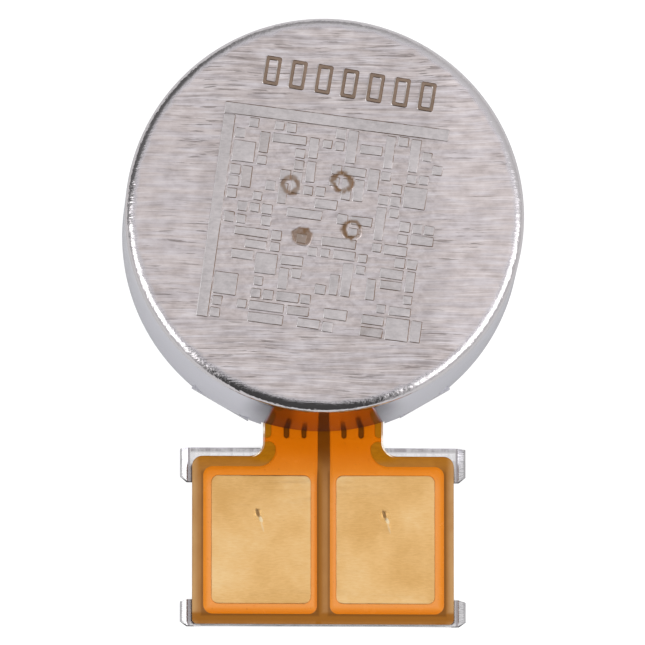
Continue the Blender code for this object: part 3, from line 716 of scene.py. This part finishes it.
def gold_look():
    """Wrinkled gold plating with a dent on each pad, given painted shade and painted highlights."""
    g = Look("gold_plating", metal=1.0, colour=(0.83, 0.55, 0.24))
    x, y, _ = g.split(g.position)
    fine = g.noise(scale=(1.0, 5.0, 1), size=6.0, detail=4, rough=0.65, turn=-6)
    grain = g.noise(size=22.0, detail=2, rough=0.6, offset=(2, 2, 2))
    cloud = g.noise(size=0.8, detail=3, offset=(7, 1, 0))
    wrinkle = g.noise(scale=(0.6, 2.2, 1), size=1.4, detail=1.5, rough=0.45,
                      offset=(1, 2, 0), turn=12)
    # painted shade: the upper left is slightly darker
    upper_left_shade = x.step(-0.9, -2.3) * y.step(-7.6, -6.9)
    tone = g.ramp((fine * 0.35 + cloud * 0.65) - upper_left_shade * 0.05,
                  (0.34, (0.790, 0.460, 0.160)), (0.50, (0.915, 0.570, 0.232)),
                  (0.66, (0.985, 0.680, 0.330)))
    rough = fine.affine(0.14, 0.28)
    marks = []
    for dent_x, dent_y in (DENT_L, DENT_R):
        near = g.position.distance((dent_x, dent_y, 0.33))
        rough = g.blend(near.fall(0.12, 0.26), rough, 0.26)
        # leaning ellipses: painted shade in the dent's upper half, a painted highlight on the lip
        # below it, and a painted highlight on the drag mark, whose relief is real
        across = x - dent_x
        up = y - dent_y
        lean = across + up * 0.28
        dent_shade = (lean / 0.052) ** 2.0 + ((up - 0.055) / 0.125) ** 2.0
        lip = ((lean - 0.035) / 0.050) ** 2.0 + ((up + 0.115) / 0.090) ** 2.0
        drag = ((lean - 0.020) / 0.030) ** 2.0 + ((up + 0.300) / 0.150) ** 2.0
        marks.append((dent_shade.fall(0.25, 1.25), lip.fall(0.2, 1.3), drag.step(0.2, 1.2, 0.45, 0.0)))
    stain = g.noise(scale=(1.0, 3.0, 1), size=3.0, detail=3, rough=0.7, offset=(3, 9, 1))
    tone = g.mix(stain.step(0.66, 0.74) * 0.22, tone, (0.45, 0.23, 0.07))
    for dent_shade, lip, drag in marks:
        # painted highlight on the dent's lip and drag mark, then painted shade in its upper half
        tone = g.mix(lip.maximum(drag), tone, (1.0, 0.80, 0.50))
        tone = g.mix(dent_shade * 0.85, tone, (0.235, 0.130, 0.055))
    normal = g.bump(wrinkle, mm=0.038)
    normal = g.bump(fine * 0.6 + grain * 0.25, mm=0.004, normal=normal)
    return g.surface(colour=tone, rough=rough, normal=normal)


def soft_look(name, base, light, dark, rough, size, relief=0.01):
    """Matte adhesive or rubber."""
    g = Look(name, colour=base)
    fine = g.noise(size=size, detail=4, rough=0.6)
    broad = g.noise(size=size * 0.2, detail=2, offset=(2, 5, 1))
    tone = g.ramp(fine * 0.6 + broad * 0.4, (0.3, dark), (0.52, base), (0.72, light))
    return g.surface(colour=tone, rough=fine.affine(0.15, rough - 0.08),
                     normal=g.bump(fine, mm=relief))


def winding_look():
    """Enamelled copper wire wound in layers round the Z axis."""
    g = Look("voice_coil_winding", metal=0.85, colour=(0.60, 0.22, 0.08))
    z = g.split(g.position)[2]
    wire_pitch = 0.05
    wave = g.math("SINE", z * (2 * pi / wire_pitch)).affine(0.5, 0.5)
    fine = g.noise(scale=(2, 2, 12), size=2.0, detail=3)
    tone = g.mix(wave, (0.32, 0.09, 0.025), (0.70, 0.27, 0.10))
    tone = g.mix(fine.step(0.55, 0.75, 0.0, 0.5), tone, (0.45, 0.16, 0.05))
    return g.surface(colour=tone, rough=fine.affine(0.2, 0.2), coat=0.4,
                     normal=g.bump(wave, mm=0.012))


CASE = case_look()
ETCH = etched_look("etched_stainless", flat_tone=(0.600, 0.562, 0.562),
                   edge_tone=(0.195, 0.130, 0.090), edge_amount=0.92, relief=0.0093)
MARK = etched_look("etched_mark", flat_tone=(0.285, 0.210, 0.160),
                   edge_tone=(0.120, 0.072, 0.040), edge_amount=0.85, relief=0.0120)
BASE = metal_look("base_plate_stainless", base=(0.66, 0.66, 0.69), light=(0.70, 0.70, 0.73),
                  dark=(0.61, 0.61, 0.64), rough=(0.22, 0.34), grain=(0.6, 6, 2),
                  relief=0.0006, spots=0.08)
PLATE = plate_look()
SPRING = metal_look("spring_stainless", base=(0.55, 0.54, 0.53), light=(0.68, 0.67, 0.66),
                    dark=(0.36, 0.35, 0.34), rough=(0.20, 0.42), grain=(5, 0.8, 2))
YOKE = metal_look("yoke_plated_steel", base=(0.46, 0.46, 0.47), light=(0.60, 0.60, 0.61),
                  dark=(0.28, 0.28, 0.29), rough=(0.26, 0.50))
TUNGSTEN = metal_look("tungsten_alloy", base=(0.27, 0.27, 0.28), light=(0.38, 0.38, 0.39),
                      dark=(0.15, 0.15, 0.16), rough=(0.34, 0.60), relief=0.008, spots=0.6)
MAGNET = metal_look("nickel_plated_magnet", base=(0.66, 0.63, 0.58), light=(0.78, 0.76, 0.71),
                    dark=(0.50, 0.47, 0.43), rough=(0.12, 0.26))
SOLDER = metal_look("solder_joint", base=(0.70, 0.70, 0.71), light=(0.84, 0.84, 0.85),
                    dark=(0.48, 0.48, 0.50), rough=(0.15, 0.35), grain=(1, 1, 1),
                    relief=0.010, spots=0.3)
GOLD = gold_look()
FILM = film_look("film_bare", paint_bare)
POUR = film_look("film_over_copper", paint_over_copper)
BOND = soft_look("bond_layer", base=(0.36, 0.26, 0.10), light=(0.46, 0.35, 0.15),
                 dark=(0.24, 0.16, 0.05), rough=0.55, size=7.0)
DAMPER = soft_look("damper_rubber", base=(0.045, 0.045, 0.05), light=(0.075, 0.075, 0.08),
                   dark=(0.02, 0.02, 0.022), rough=0.85, size=9.0, relief=0.02)
COIL = winding_look()

# the CAD nodes keep their shape and get a finished material
CAD_MATERIALS = (
    (BASE, "base_plate"), (BOND, "bond_motor bond_tail"),
    (COIL, "voice_coil coil_lead_left coil_lead_right"), (SOLDER, "solder_left solder_right"),
    (DAMPER, "base_damper top_damper"), (TUNGSTEN, "weight_ring"), (YOKE, "yoke pole_plate"),
    (MAGNET, "magnet"), (POUR, "copper_left copper_right"),
    (FILM, "film_motor film_neck film_tail cover_tail"), (GOLD, "pad_left pad_right"),
    (PLATE, "stiffener_plate"), (SPRING, "leaf_spring"), (CASE, "case"))
for material, names in CAD_MATERIALS:
    for name in names.split():
        set_material(NODES[name], material)


# =====================================================================
# case
# =====================================================================
def ear_notch(side):
    """Outline of the notch in the wall for one ear of the base plate."""
    margin = 0.2                       # degrees at the sides, millimetres outward
    near_angle, far_angle, near_radius, far_radius = EARS[side]
    near_angle = radians(-90 + side * (near_angle - margin))
    far_angle = radians(-90 + side * (far_angle + margin))
    inside = CASE_INNER_R - 0.16
    polar = ((inside, near_angle), (near_radius + margin, near_angle),
             (far_radius + margin, far_angle), (inside, far_angle))
    points = [(radius * cos(angle), radius * sin(angle)) for radius, angle in polar]
    return points if side > 0 else points[::-1]


def build_case():
    profile = [(0.0, CASE_H), (1.5, CASE_H), (3.2, CASE_H), (4.2, CASE_H)]
    for k in range(25):
        angle = radians(90 - 90 * k / 24)
        profile.append((CASE_R - RIM_WIDE + RIM_WIDE * cos(angle),
                        CASE_H - RIM_TALL + RIM_TALL * sin(angle)))
    profile += [(CASE_R, 3.0), (CASE_R, 2.0), (CASE_R, 1.0), (CASE_R, 0.02), (CASE_R - 0.02, 0.0),
                (CASE_INNER_R, 0.0)]
    profile += arc(CASE_INNER_R - 0.10, CASE_INNER_TOP - 0.10, 0.10, 0, 90, 4)
    profile += [(0.0, CASE_INNER_TOP)]
    case = make_object(lathe(profile, 288), "case_shell", CASE)
    slot = box(NECK_X0 - 0.05, NECK_X1 + 0.05, -6, -4, -0.5, COVER_Z1 + 0.012)
    boolean(case, make_object(slot, "slot_tool"))
    for side in (-1, 1):
        notch = slab(ear_notch(side), [(0, -0.5), (0, BASE_T + 0.006)])
        boolean(case, make_object(notch, "notch_tool"))
    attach(case, "housing")
    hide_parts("case")


def etched_levels(height, bevel):
    """Slab levels of a mark that stands a few micrometres proud of the top."""
    return [(0.0, CASE_H - 0.004), (0.0, CASE_H + 0.001),
            (bevel * 0.5, CASE_H + height * 0.7), (bevel, CASE_H + height)]


def place_cell(u, v):
    return (PATTERN[0] + u * cos(U_ANGLE) - v * sin(V_ANGLE),
            PATTERN[1] + u * sin(U_ANGLE) + v * cos(V_ANGLE))


def random_cells():
    """Random rectangles (column, row, wide, tall) over a little more than half of the grid."""
    # the left column and the top row belong to the two bars
    taken = {(0, i) for i in range(N_CELL)} | {(i, N_CELL - 1) for i in range(N_CELL)}
    sizes = [(1, 1)] * 12 + [(1, 2)] * 5 + [(2, 1)] * 5 + [(2, 2)] * 2 + [(1, 3)] * 2 + [(3, 1)] * 2
    places = [(column, row) for column in range(1, N_CELL) for row in range(N_CELL - 1)]
    RNG.shuffle(places)
    cells, used = [], 0
    for column, row in places:
        wide, tall = RNG.choice(sizes)
        spot = [(column + i, row + j) for i in range(wide) for j in range(tall)]
        if any(x >= N_CELL or y >= N_CELL - 1 or (x, y) in taken for x, y in spot):
            continue
        # the lower part of the grid is sparser
        if RNG.random() > (0.95 if row > 4 else 0.75):
            continue
        taken.update(spot)
        used += wide * tall
        cells.append((column, row, wide, tall))
        if used > 0.56 * N_CELL * N_CELL:
            break
    return cells


def add_cell(bm, u0, v0, u1, v1, height, radius, lean=(0.0, 0.0, 0.0, 0.0)):
    """One etched rectangle; lean shifts its corners a little."""
    a, b, c, d = lean
    outline = rounded([(u0 + a, v0 + b, radius), (u1 + c, v0 + d, radius),
                       (u1 + b, v1 + a, radius), (u0 + d, v1 + c, radius)], 3)
    slab(outline, etched_levels(height, 0.022), place=place_cell, bm=bm)


def build_etched_cells():
    bm = bmesh.new()
    half_u, half_v = N_CELL * U_PITCH / 2, N_CELL * V_PITCH / 2
    # a bar along the left side and one along the top
    add_cell(bm, -half_u, -half_v, -half_u + U_PITCH - 0.012, half_v - V_PITCH - 0.008,
             height=0.009, radius=0.024)
    add_cell(bm, -half_u, half_v - V_PITCH, half_u, half_v, height=0.009, radius=0.024)
    for column, row, wide, tall in random_cells():
        shift_u, shift_v = RNG.uniform(-0.014, 0.014), RNG.uniform(-0.014, 0.014)
        u0, v0 = -half_u + column * U_PITCH + shift_u, -half_v + row * V_PITCH + shift_v
        gap = RNG.uniform(0.018, 0.040)
        lean = [RNG.uniform(-0.008, 0.008) for _ in range(4)]
        add_cell(bm, u0 + gap, v0 + gap, u0 + wide * U_PITCH - gap, v0 + tall * V_PITCH - gap,
                 height=RNG.uniform(0.0085, 0.0100), radius=0.026, lean=lean)
    etched = make_object(bm, "etched_cells", ETCH, 80)
    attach(etched, "housing")


def build_etched_frames():
    """Row of seven equal frames above the cells."""
    row_x, row_y, row_angle = 0.615, 3.31, radians(-9.4)
    pitch, half_wide, half_tall, line, bevel = 0.655, 0.205, 0.37, 0.105, 0.024

    def place(u, v):
        return (row_x + u * cos(row_angle) - v * sin(row_angle),
                row_y + u * sin(row_angle) + v * cos(row_angle))

    def rectangle(u, margin, radius):
        u0, u1 = u - half_wide + margin, u + half_wide - margin
        v0, v1 = -half_tall + margin, half_tall - margin
        return rounded([(u0, v0, radius), (u1, v0, radius), (u1, v1, radius), (u0, v1, radius)], 4)

    bm = bmesh.new()
    for k in range(7):
        u = (k - 3) * pitch
        slab(rectangle(u, 0.0, 0.06), etched_levels(0.012, bevel),
             [(rectangle(u, line, 0.03), [0.0, 0.0, bevel * 0.5, bevel])], place=place, bm=bm)
    marks = make_object(bm, "etched_frames", MARK, 60)
    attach(marks, "housing")


def build_weld_spots():
    """Shallow ring-shaped ridges with a dished centre."""
    # share of the spot's radius, height over the top
    stations = [(0.0, -0.006), (1.02, -0.006), (1.0, 0.001), (0.88, 0.0035), (0.70, 0.0045),
                (0.52, 0.003), (0.30, 0.0015), (0.0, 0.001)]
    bm = bmesh.new()
    for i, (x, y, radius, *_) in enumerate(WELDS):
        turn = 1.7 * i
        lathe([(radius * share, CASE_H + rise) for share, rise in stations], 40, (x, y),
              lambda a: 1.0 + 0.06 * sin(2 * a + turn) + 0.04 * sin(5 * a + 2 * turn), bm)
    welds = make_object(bm, "weld_spots", CASE, 60)
    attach(welds, "housing")


# =====================================================================
# flexible film
# =====================================================================
def blend_over_fold(obj):
    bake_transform(obj)


def build_film_sheet():
    """Neck and tail in one sheet, from inside the motor to the end of the tail."""
    x0, x1 = TAIL_CX - TAIL_HALF, TAIL_CX + TAIL_HALF
    outline = rounded([
        (NECK_X0, FILM_IN_Y, 0), (NECK_X0, TAIL_Y0, 0.36), (x0, TAIL_Y0, 0.26),
        (x0, TAIL_Y1, 0.13), (x1, TAIL_Y1, 0.13), (x1, TAIL_Y0, 0.26),
        (NECK_X1, TAIL_Y0, 0.36), (NECK_X1, FILM_IN_Y, 0)], 12)
    bm = slab(outline, [(0.0, FILM_Z0), (0.0, 0.292), (0.008, 0.304), (0.020, 0.312),
                        (0.044, 0.318)])
    cut_fold(bm)
    film = make_object(bm, "film_sheet", FILM, 40)
    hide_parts("film_neck", "film_tail")
    return film


def build_film_hub():
    """The round part of the film inside the motor."""
    outline = [(NECK_X1, FILM_IN_Y + 0.004)] + arc(0, 0, 2.75, -50, 230, 72)
    outline += [(NECK_X0, FILM_IN_Y + 0.004)]
    bm = slab(outline, [(0.0, FILM_Z0), (0.0, 0.335), (0.006, 0.345), (0.020, COVER_Z1)],
              [(arc(0, 0, 0.95, 0, 355, 71), [0.0, 0.0, 0.006, 0.020])])
    hub = make_object(bm, "film_hub", FILM, 40)
    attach(hub, "housing")
    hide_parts("film_motor")


def pour_outline(side):
    """Copper pour, left (-1) or right (+1), with its lead up the neck."""
    # outer and inner x of the pour; inner x of the lead at its top and foot;
    # near and far x of the two notches that split the lead
    if side < 0:
        x_out, x_in, neck = *POUR_L, NECK_X0
        lead_top, lead_foot = -0.072, -0.081
        notches = ((-0.366, -0.487), (-0.797, -0.933))
    else:
        x_in, x_out, neck = *POUR_R, NECK_X1
        lead_top, lead_foot = 0.212, 0.230
        notches = ((0.516, 0.640), (0.944, 1.076))
    top, notch_foot = FILM_IN_Y + 0.002, -5.160

    def side_arc(cx, cy, radius, start, end, steps):
        """Arc with angles for the left side, mirrored on the right."""
        if side > 0:
            start, end = 180 - start, 180 - end
        return arc(cx, cy, radius, start, end, steps)

    points = [(lead_top, top)]
    for near, far in notches:
        middle, radius = (near + far) / 2, abs(far - near) / 2
        points += [(near, top), (near, notch_foot + radius)]
        points += side_arc(middle, notch_foot + radius * 0.9, radius, 0, -180, 10)[1:-1]
        points += [(far, notch_foot + radius), (far, top)]
    points += [(neck - side * 0.20, top)]
    points += side_arc(neck - side * 0.10, -5.050, 0.10, 0, -90, 6)
    # a short tongue towards the neck's edge: distance in from the edge, y
    for margin, y in ((0.075, -5.151), (0.056, -5.160), (0.048, -5.185), (0.048, -5.225),
                      (0.056, -5.245), (0.078, -5.249)):
        points.append((neck - side * margin, y))
    # the copper stays clear of the film's inner corner: small arc above, wide arc below
    wide = side_arc(neck + side * 0.135, -5.440, 0.445, 0, -90, 14)
    points += side_arc(neck - side * 0.115, -5.450, 0.20, 90, 0, 8)[1:-1]
    points += wide[1:-1]
    points += rounded([(wide[-1][0], POUR_Y0, 0), (x_out, POUR_Y0, 0.24), (x_out, POUR_Y1, 0.24),
                       (x_in, POUR_Y1, 0.21), (x_in, POUR_Y0 - 0.35, 0)], 12)
    return points + [(lead_foot, POUR_Y0 + 0.05)]


def pad_outline(span, margin=0.0):
    radius = PAD_CORNER - margin
    return sheet_outline(span[0] + margin, span[1] - margin, PAD_Y0 - margin, PAD_Y1 + margin,
                         radius, radius, 12)


def pour_fall(x, y):
    """Less inset up the neck, so that the slopes of the narrow leads don't meet."""
    if y < POUR_Y0 + 0.03:
        return 1.0
    return 0.55 if y < -5.52 else 0.22


def build_pours():
    """Cover film raised over the copper pours, open over the pads."""
    levels = [(0.0, 0.300), (0.0, 0.317), (0.012, 0.3235), (0.030, 0.3315), (0.050, 0.3390),
              (0.070, 0.3445), (0.090, 0.3480), (0.115, COVER_Z1)]
    pad_rise = [0.0, 0.0, 0.0, 0.0, 0.0, 0.006, 0.016, 0.034]
    for side, label, span, replaced in ((-1, "left", PAD_L, ("copper_left", "cover_tail")),
                                        (1, "right", PAD_R, ("copper_right",))):
        bm = slab(pour_outline(side), levels, [(pad_outline(span), pad_rise)], pour_fall)
        cut_fold(bm)
        pour = make_object(bm, "cover_over_copper_" + label, POUR, 40)
        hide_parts(*replaced)
        blend_over_fold(pour)


def pad_relief(x, y, span, dent):
    """Height over the flat pad: slight waves, a dent with a raised ring, and a drag mark."""
    edge = min(x - span[0], span[1] - x, PAD_Y0 - y, y - PAD_Y1)
    fade = min(max(edge / 0.25, 0.0), 1.0)
    wave = noise.noise(Vector((x * 0.9, y * 0.9, 3.1))) * 0.010
    wave += noise.noise(Vector((x * 2.6, y * 3.4, 8.0))) * 0.0025
    dx, dy = x - dent[0], y - dent[1]
    length = 0.120 if dy > 0.02 else 0.130
    hole = -0.024 * exp(-((dx / 0.070) ** 2 + ((dy - 0.02) / length) ** 2))
    # the drag mark runs down and to the right of the dent
    along = dx * 0.35 - dy * 0.94
    across = dx * 0.94 + dy * 0.35
    drag = 0.012 * exp(-((across / 0.045) ** 2)) * exp(-(((along - 0.24) / 0.14) ** 2))
    ring = 0.005 * exp(-(((hypot(dx, dy * 0.85) - 0.19) / 0.10) ** 2))
    return fade * (wave + 0.002) + hole + (ring + drag) * fade


def build_pads():
    """Gold pads, cut into a grid that is finer round the dent."""
    grid = 0.06
    for label, span, dent in (("left", PAD_L, DENT_L), ("right", PAD_R, DENT_R)):
        bm = slab(pad_outline(span, 0.004),
                  [(0.0, 0.3185), (0.0, 0.3275), (0.008, 0.3315), (0.020, 0.332)])
        cut_series(bm, 0, span[0] + grid, span[1] - 0.03, grid)
        cut_series(bm, 1, PAD_Y0 - grid, PAD_Y1 + 0.03, -grid)
        for k in range(-16, 12):
            cut(bm, 0, dent[0] - k * 0.02)
            cut(bm, 1, dent[1] + k * 0.026)
        for vert in bm.verts:
            x, y, z = vert.co.x / MM, vert.co.y / MM, vert.co.z / MM
            if z >= 0.3318:
                vert.co.z = (z + pad_relief(x, y, span, dent)) * MM
        pad = make_object(bm, "gold_pad_" + label, GOLD, 55)
        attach(pad, "tail")
        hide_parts("pad_" + label)


# =====================================================================
# stiffener plate with a raised lip at its top edge and four bent tabs
# =====================================================================
def lip_tool(name, profile, x0, x1):
    """Prism along X from a closed (y, z) profile."""
    bm = bmesh.new()
    a = add_verts(bm, [(x0, y, z) for y, z in profile])
    b = add_verts(bm, [(x1, y, z) for y, z in profile])
    bm.faces.new(a)
    bm.faces.new(b[::-1])
    for i in range(len(a)):
        j = (i + 1) % len(a)
        bm.faces.new((a[i], b[i], b[j], a[j]))
    return make_object(bm, name)


def tab_tool(profile):
    """Triangulated solid from closed (x, z, (y0, y1)) points, each running from y0 to y1."""
    bm = bmesh.new()
    a = add_verts(bm, [(x, ends[0], z) for x, z, ends in profile])
    b = add_verts(bm, [(x, ends[1], z) for x, z, ends in profile])
    for ring in (a, b):
        edges = [bm.edges.new(pair) for pair in zip(ring, ring[1:] + ring[:1])]
        bmesh.ops.triangle_fill(bm, edges=edges)
    for i in range(len(a)):
        j = (i + 1) % len(a)
        bm.faces.new((a[i], a[j], b[j]))
        bm.faces.new((a[i], b[j], b[i]))
    return make_object(bm, "tab")


def build_stiffener():
    x0, x1 = TAIL_CX - STIFF_HALF, TAIL_CX + STIFF_HALF
    bm = slab(sheet_outline(x0, x1, STIFF_Y0, STIFF_Y1, 0.03, 0.06, 4),
              [(0.012, 0.0), (0.0, 0.012), (0.0, STIFF_T - 0.02), (0.006, STIFF_T - 0.006),
               (0.02, STIFF_T)])
    plate = make_object(bm, "stiffener", PLATE)
    # y, z
    lip = [(STIFF_Y0 - 0.10, 0.001), (STIFF_Y0 + 0.01, 0.001), (LIP_Y - 0.012, 0.012),
           (LIP_Y, 0.026), (LIP_Y, LIP_Z - 0.022), (LIP_Y - 0.006, LIP_Z - 0.008),
           (LIP_Y - 0.020, LIP_Z), (LIP_Y - 0.045, LIP_Z - 0.002),
           (STIFF_Y0 - 0.05, STIFF_T + 0.002), (STIFF_Y0 - 0.10, STIFF_T - 0.001)]
    boolean(plate, lip_tool("lip_l", lip, x0 - 0.06, NECK_X0 - 0.06), "UNION")
    boolean(plate, lip_tool("lip_r", lip, NECK_X1 + 0.06, x1 + 0.06), "UNION")
    peak = STIFF_T + TAB_RISE
    for side in (-1, 1):
        for root, tip in TABS:
            # distance from the tail's centre line, z, y range
            tab = [(STIFF_HALF - 0.20, 0.001, root), (TAB_HALF - 0.17, 0.001, root),
                   (TAB_HALF - 0.015, 0.068, tip), (TAB_HALF, 0.082, tip),
                   (TAB_HALF, 0.120, tip), (TAB_HALF - 0.010, 0.165, tip),
                   (TAB_HALF - 0.036, peak - 0.006, tip), (TAB_HALF - 0.052, peak, tip),
                   (TAB_HALF - 0.070, peak - 0.006, tip),
                   (TAB_HALF - 0.190, STIFF_T + 0.009, root),
                   (TAB_HALF - 0.210, STIFF_T + 0.001, root),
                   (STIFF_HALF - 0.20, STIFF_T - 0.001, root)]
            tool = tab_tool([(TAIL_CX + side * x, z, ends) for x, z, ends in tab])
            boolean(plate, tool, "UNION")
    set_material(plate, PLATE)
    plate.data.shade_smooth()
    plate.data.set_sharp_from_angle(angle=radians(24))
    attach(plate, "tail")
    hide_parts("stiffener_plate")


# =====================================================================
# leaf spring that stretches between the case top and the moving weight
# =====================================================================
def smooth(t):
    return t * t * (3 - 2 * t)


def spring_z(radius):
    start = SPRING_HUB_R - 0.05
    t = min(max((radius - start) / (SPRING_RING_R0 + 0.05 - SPRING_HUB_R), 0.0), 1.0)
    return SPRING_HUB_Z + (SPRING_RING_Z - SPRING_HUB_Z) * smooth(t)


def spring_arm(start):
    """Spiral strip from the hub to the ring; start is its first angle in degrees."""
    # section: share of the arm's width, height
    section = ((-0.5, -0.028), (-0.47, -0.042), (0.47, -0.042), (0.5, -0.028),
               (0.5, 0.028), (0.47, 0.042), (-0.47, 0.042), (-0.5, 0.028))
    bm = bmesh.new()
    rings = []
    for i in range(61):
        t = i / 60
        middle = 1.02 + 2.90 * (smooth(t) * 0.35 + t * 0.65)
        angle = radians(start + 235.0 * t)
        points = []
        for share, dz in section:
            radius = middle + share * SPRING_ARM_W
            points.append((radius * cos(angle), radius * sin(angle), spring_z(radius) + dz))
        rings.append(add_verts(bm, points))
    for a, b in zip(rings, rings[1:]):
        for k in range(8):
            j = (k + 1) % 8
            bm.faces.new((a[k], b[k], b[j]))
            bm.faces.new((a[k], b[j], a[j]))
    bm.faces.new(rings[0])
    bm.faces.new(rings[-1][::-1])
    return make_object(bm, "arm_tool")


def build_spring():
    half, bevel = SPRING_T / 2, 0.02
    low, high = SPRING_HUB_Z - half, SPRING_HUB_Z + half
    hub = [(0.0, low), (SPRING_HUB_R - bevel, low), (SPRING_HUB_R, low + bevel),
           (SPRING_HUB_R, high - bevel), (SPRING_HUB_R - bevel, high), (0.0, high)]
    spring = make_object(lathe(hub, 71), "leaf_spring_arms")
    for start in (11.3, 131.3, 251.3):
        boolean(spring, spring_arm(start), "UNION")
    r0, r1 = SPRING_RING_R0, SPRING_RING_R1
    low, high = SPRING_RING_Z - half, SPRING_RING_Z + half
    ring = [(r0, low + bevel), (r0 + bevel, low), (r1 - bevel, low), (r1, low + bevel),
            (r1, high - bevel), (r1 - bevel, high), (r0 + bevel, high), (r0, high - bevel)]
    boolean(spring, make_object(lathe(ring, 73), "ring_tool"), "UNION")
    set_material(spring, SPRING)
    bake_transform(spring)
    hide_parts("leaf_spring")


# =====================================================================
# stage: pale floor, soft studio surroundings, lights, camera
# =====================================================================
def floor_look():
    """Plain and glowing for the camera, a pale card for everything else, with painted shade on the
    card's right side near the motor.
    """
    g = Look("studio_floor", rough=0.9, colour=(0.93, 0.93, 0.935))
    x, y, _ = g.split(g.position)
    camera_ray = g.add("LightPath", output="Is Camera Ray")
    radius = g.flat_position().length()
    # painted shade: near the motor the card darkens towards the right, seen only in reflections
    card_shade = g.blend(radius.step(5.6, 9.0), x.step(-4.0, 4.5, 0.66, 0.56), 0.66)
    sheet = g.mix(g.noise(size=0.03, detail=2), (0.925, 0.925, 0.93), (0.945, 0.945, 0.95))
    # contact shadow in the corners between the wall, the neck and the stiffener
    corner = abs(x - 0.055).fall(1.75, 2.45) * y.step(-5.9, -5.5) * y.step(-4.2, -4.4)
    corner = corner * radius.step(5.05, 5.42, 0.15, 1.0)
    mirrored = sheet.scaled(card_shade * corner.affine(-0.45, 1.0))
    return g.surface(colour=g.mix(camera_ray, mirrored, (0.30, 0.30, 0.30)), spec=0.0,
                     normal=g.bump(g.noise(size=0.6, detail=3), mm=0.02, strength=0.2),
                     emit=(1, 1, 1), emit_strength=g.blend(camera_ray, 0.0, 0.80))


def build_floor():
    bm = bmesh.new()
    bmesh.ops.create_grid(bm, x_segments=2, y_segments=2, size=0.6)
    for vert in bm.verts:
        vert.co.z = -0.00002
    make_object(bm, "studio_floor", floor_look())


def build_world():
    """Surroundings as a function of direction; the camera itself sees plain white."""
    world = bpy.data.worlds.new("studio")
    bpy.context.scene.world = world
    world.use_nodes = True
    world.node_tree.nodes.clear()
    g = Graph(world.node_tree)
    x, y, z = g.split(g.add("TexCoord", output="Generated"))

    def lobe(azimuth, elevation, wide, tall, soft):
        """1 inside a soft-edged patch; degrees, azimuth 0 = +X and 90 = +Y."""
        up = g.math("ARCSINE", z) * (180 / pi)
        around = g.math("ARCTAN2", y, x) * (180 / pi)
        across = abs(g.math("WRAP", around - azimuth, 180.0, -180.0) - 0.0)
        above = abs(up - elevation)
        return (across.fall(wide * (1 - soft), wide * (1 + soft))
                * above.fall(tall * (1 - soft), tall * (1 + soft)))

    # a little brighter overhead
    level = z.step(0.0, 1.0, 0.72, 0.885)
    for patch, depth in (
            # behind the camera, then a gap at the back left and a softer one at the back
            (dict(azimuth=-98, elevation=24, wide=34, tall=52, soft=0.28), 0.90),
            (dict(azimuth=143, elevation=18, wide=30, tall=30, soft=0.55), 0.78),
            (dict(azimuth=96, elevation=8, wide=26, tall=22, soft=0.7), 0.42)):
        level = level * (1.0 - lobe(**patch) * depth)
    for patch, strength in (
            # left and right soft box
            (dict(azimuth=194, elevation=37, wide=23, tall=15, soft=0.35), 2.1),
            (dict(azimuth=-21, elevation=39, wide=31, tall=16, soft=0.26), 1.8)):
        level = level + lobe(**patch) * strength

    lighting = g.add("Background", {"Color": (0.99, 0.985, 1.0), "Strength": level})
    seen = g.add("Background", {"Color": (1, 1, 1), "Strength": 1.0})
    camera_ray = g.add("LightPath", output="Is Camera Ray")
    mixed = g.add("MixShader", {0: camera_ray, 1: lighting, 2: seen})
    output = g.tree.nodes.new("ShaderNodeOutputWorld")
    g.connect(output.inputs["Surface"], mixed)


def add_softbox(name, at, target, size, power):
    """Large soft light in metres and watts; it isn't mirrored in the surfaces."""
    data = bpy.data.lights.new(name, "AREA")
    data.shape = "RECTANGLE"
    data.size, data.size_y = size
    data.energy = power
    light = bpy.data.objects.new(name, data)
    bpy.context.scene.collection.objects.link(light)
    light.location = at
    light.rotation_mode = "QUATERNION"
    light.rotation_quaternion = (Vector(target) - Vector(at)).to_track_quat("-Z", "Y")
    light.visible_glossy = False


def build_camera():
    data = bpy.data.cameras.new("camera")
    data.lens = LENS
    data.sensor_width = SENSOR
    camera = bpy.data.objects.new("camera", data)
    bpy.context.scene.collection.objects.link(camera)
    tilt, turn = radians(TILT), radians(TURN)
    back = Vector((sin(turn) * sin(tilt), -cos(turn) * sin(tilt), cos(tilt)))
    up = (Vector((0, 1, 0)) - back * back.y).normalized()
    right = up.cross(back).normalized()
    distance = VIEW_WIDTH * MM / (SENSOR / LENS)
    aim = right * (AIM_RIGHT * MM) - up * (AIM_DOWN * MM)
    rotation = Matrix((right, up, back)).transposed()
    camera.matrix_world = Matrix.Translation(aim + back * distance) @ rotation.to_4x4()
    data.clip_start, data.clip_end = 0.05, 2.0
    bpy.context.scene.camera = camera


# =====================================================================
# build
# =====================================================================
build_case()
build_etched_cells()
build_etched_frames()
build_weld_spots()
film_sheet = build_film_sheet()
build_film_hub()
build_pours()
blend_over_fold(film_sheet)
build_pads()
build_stiffener()
build_spring()

build_floor()
build_world()
add_softbox("soft_front", at=(-0.03, -0.14, 0.26), target=(0, -0.005, 0),
            size=(0.22, 0.16), power=0.34)
add_softbox("soft_top", at=(0.02, 0.02, 0.30), target=(0, -0.002, 0),
            size=(0.20, 0.20), power=0.17)
build_camera()
bpy.context.scene.view_settings.view_transform = "Standard"
bpy.context.scene.view_settings.look = "None"
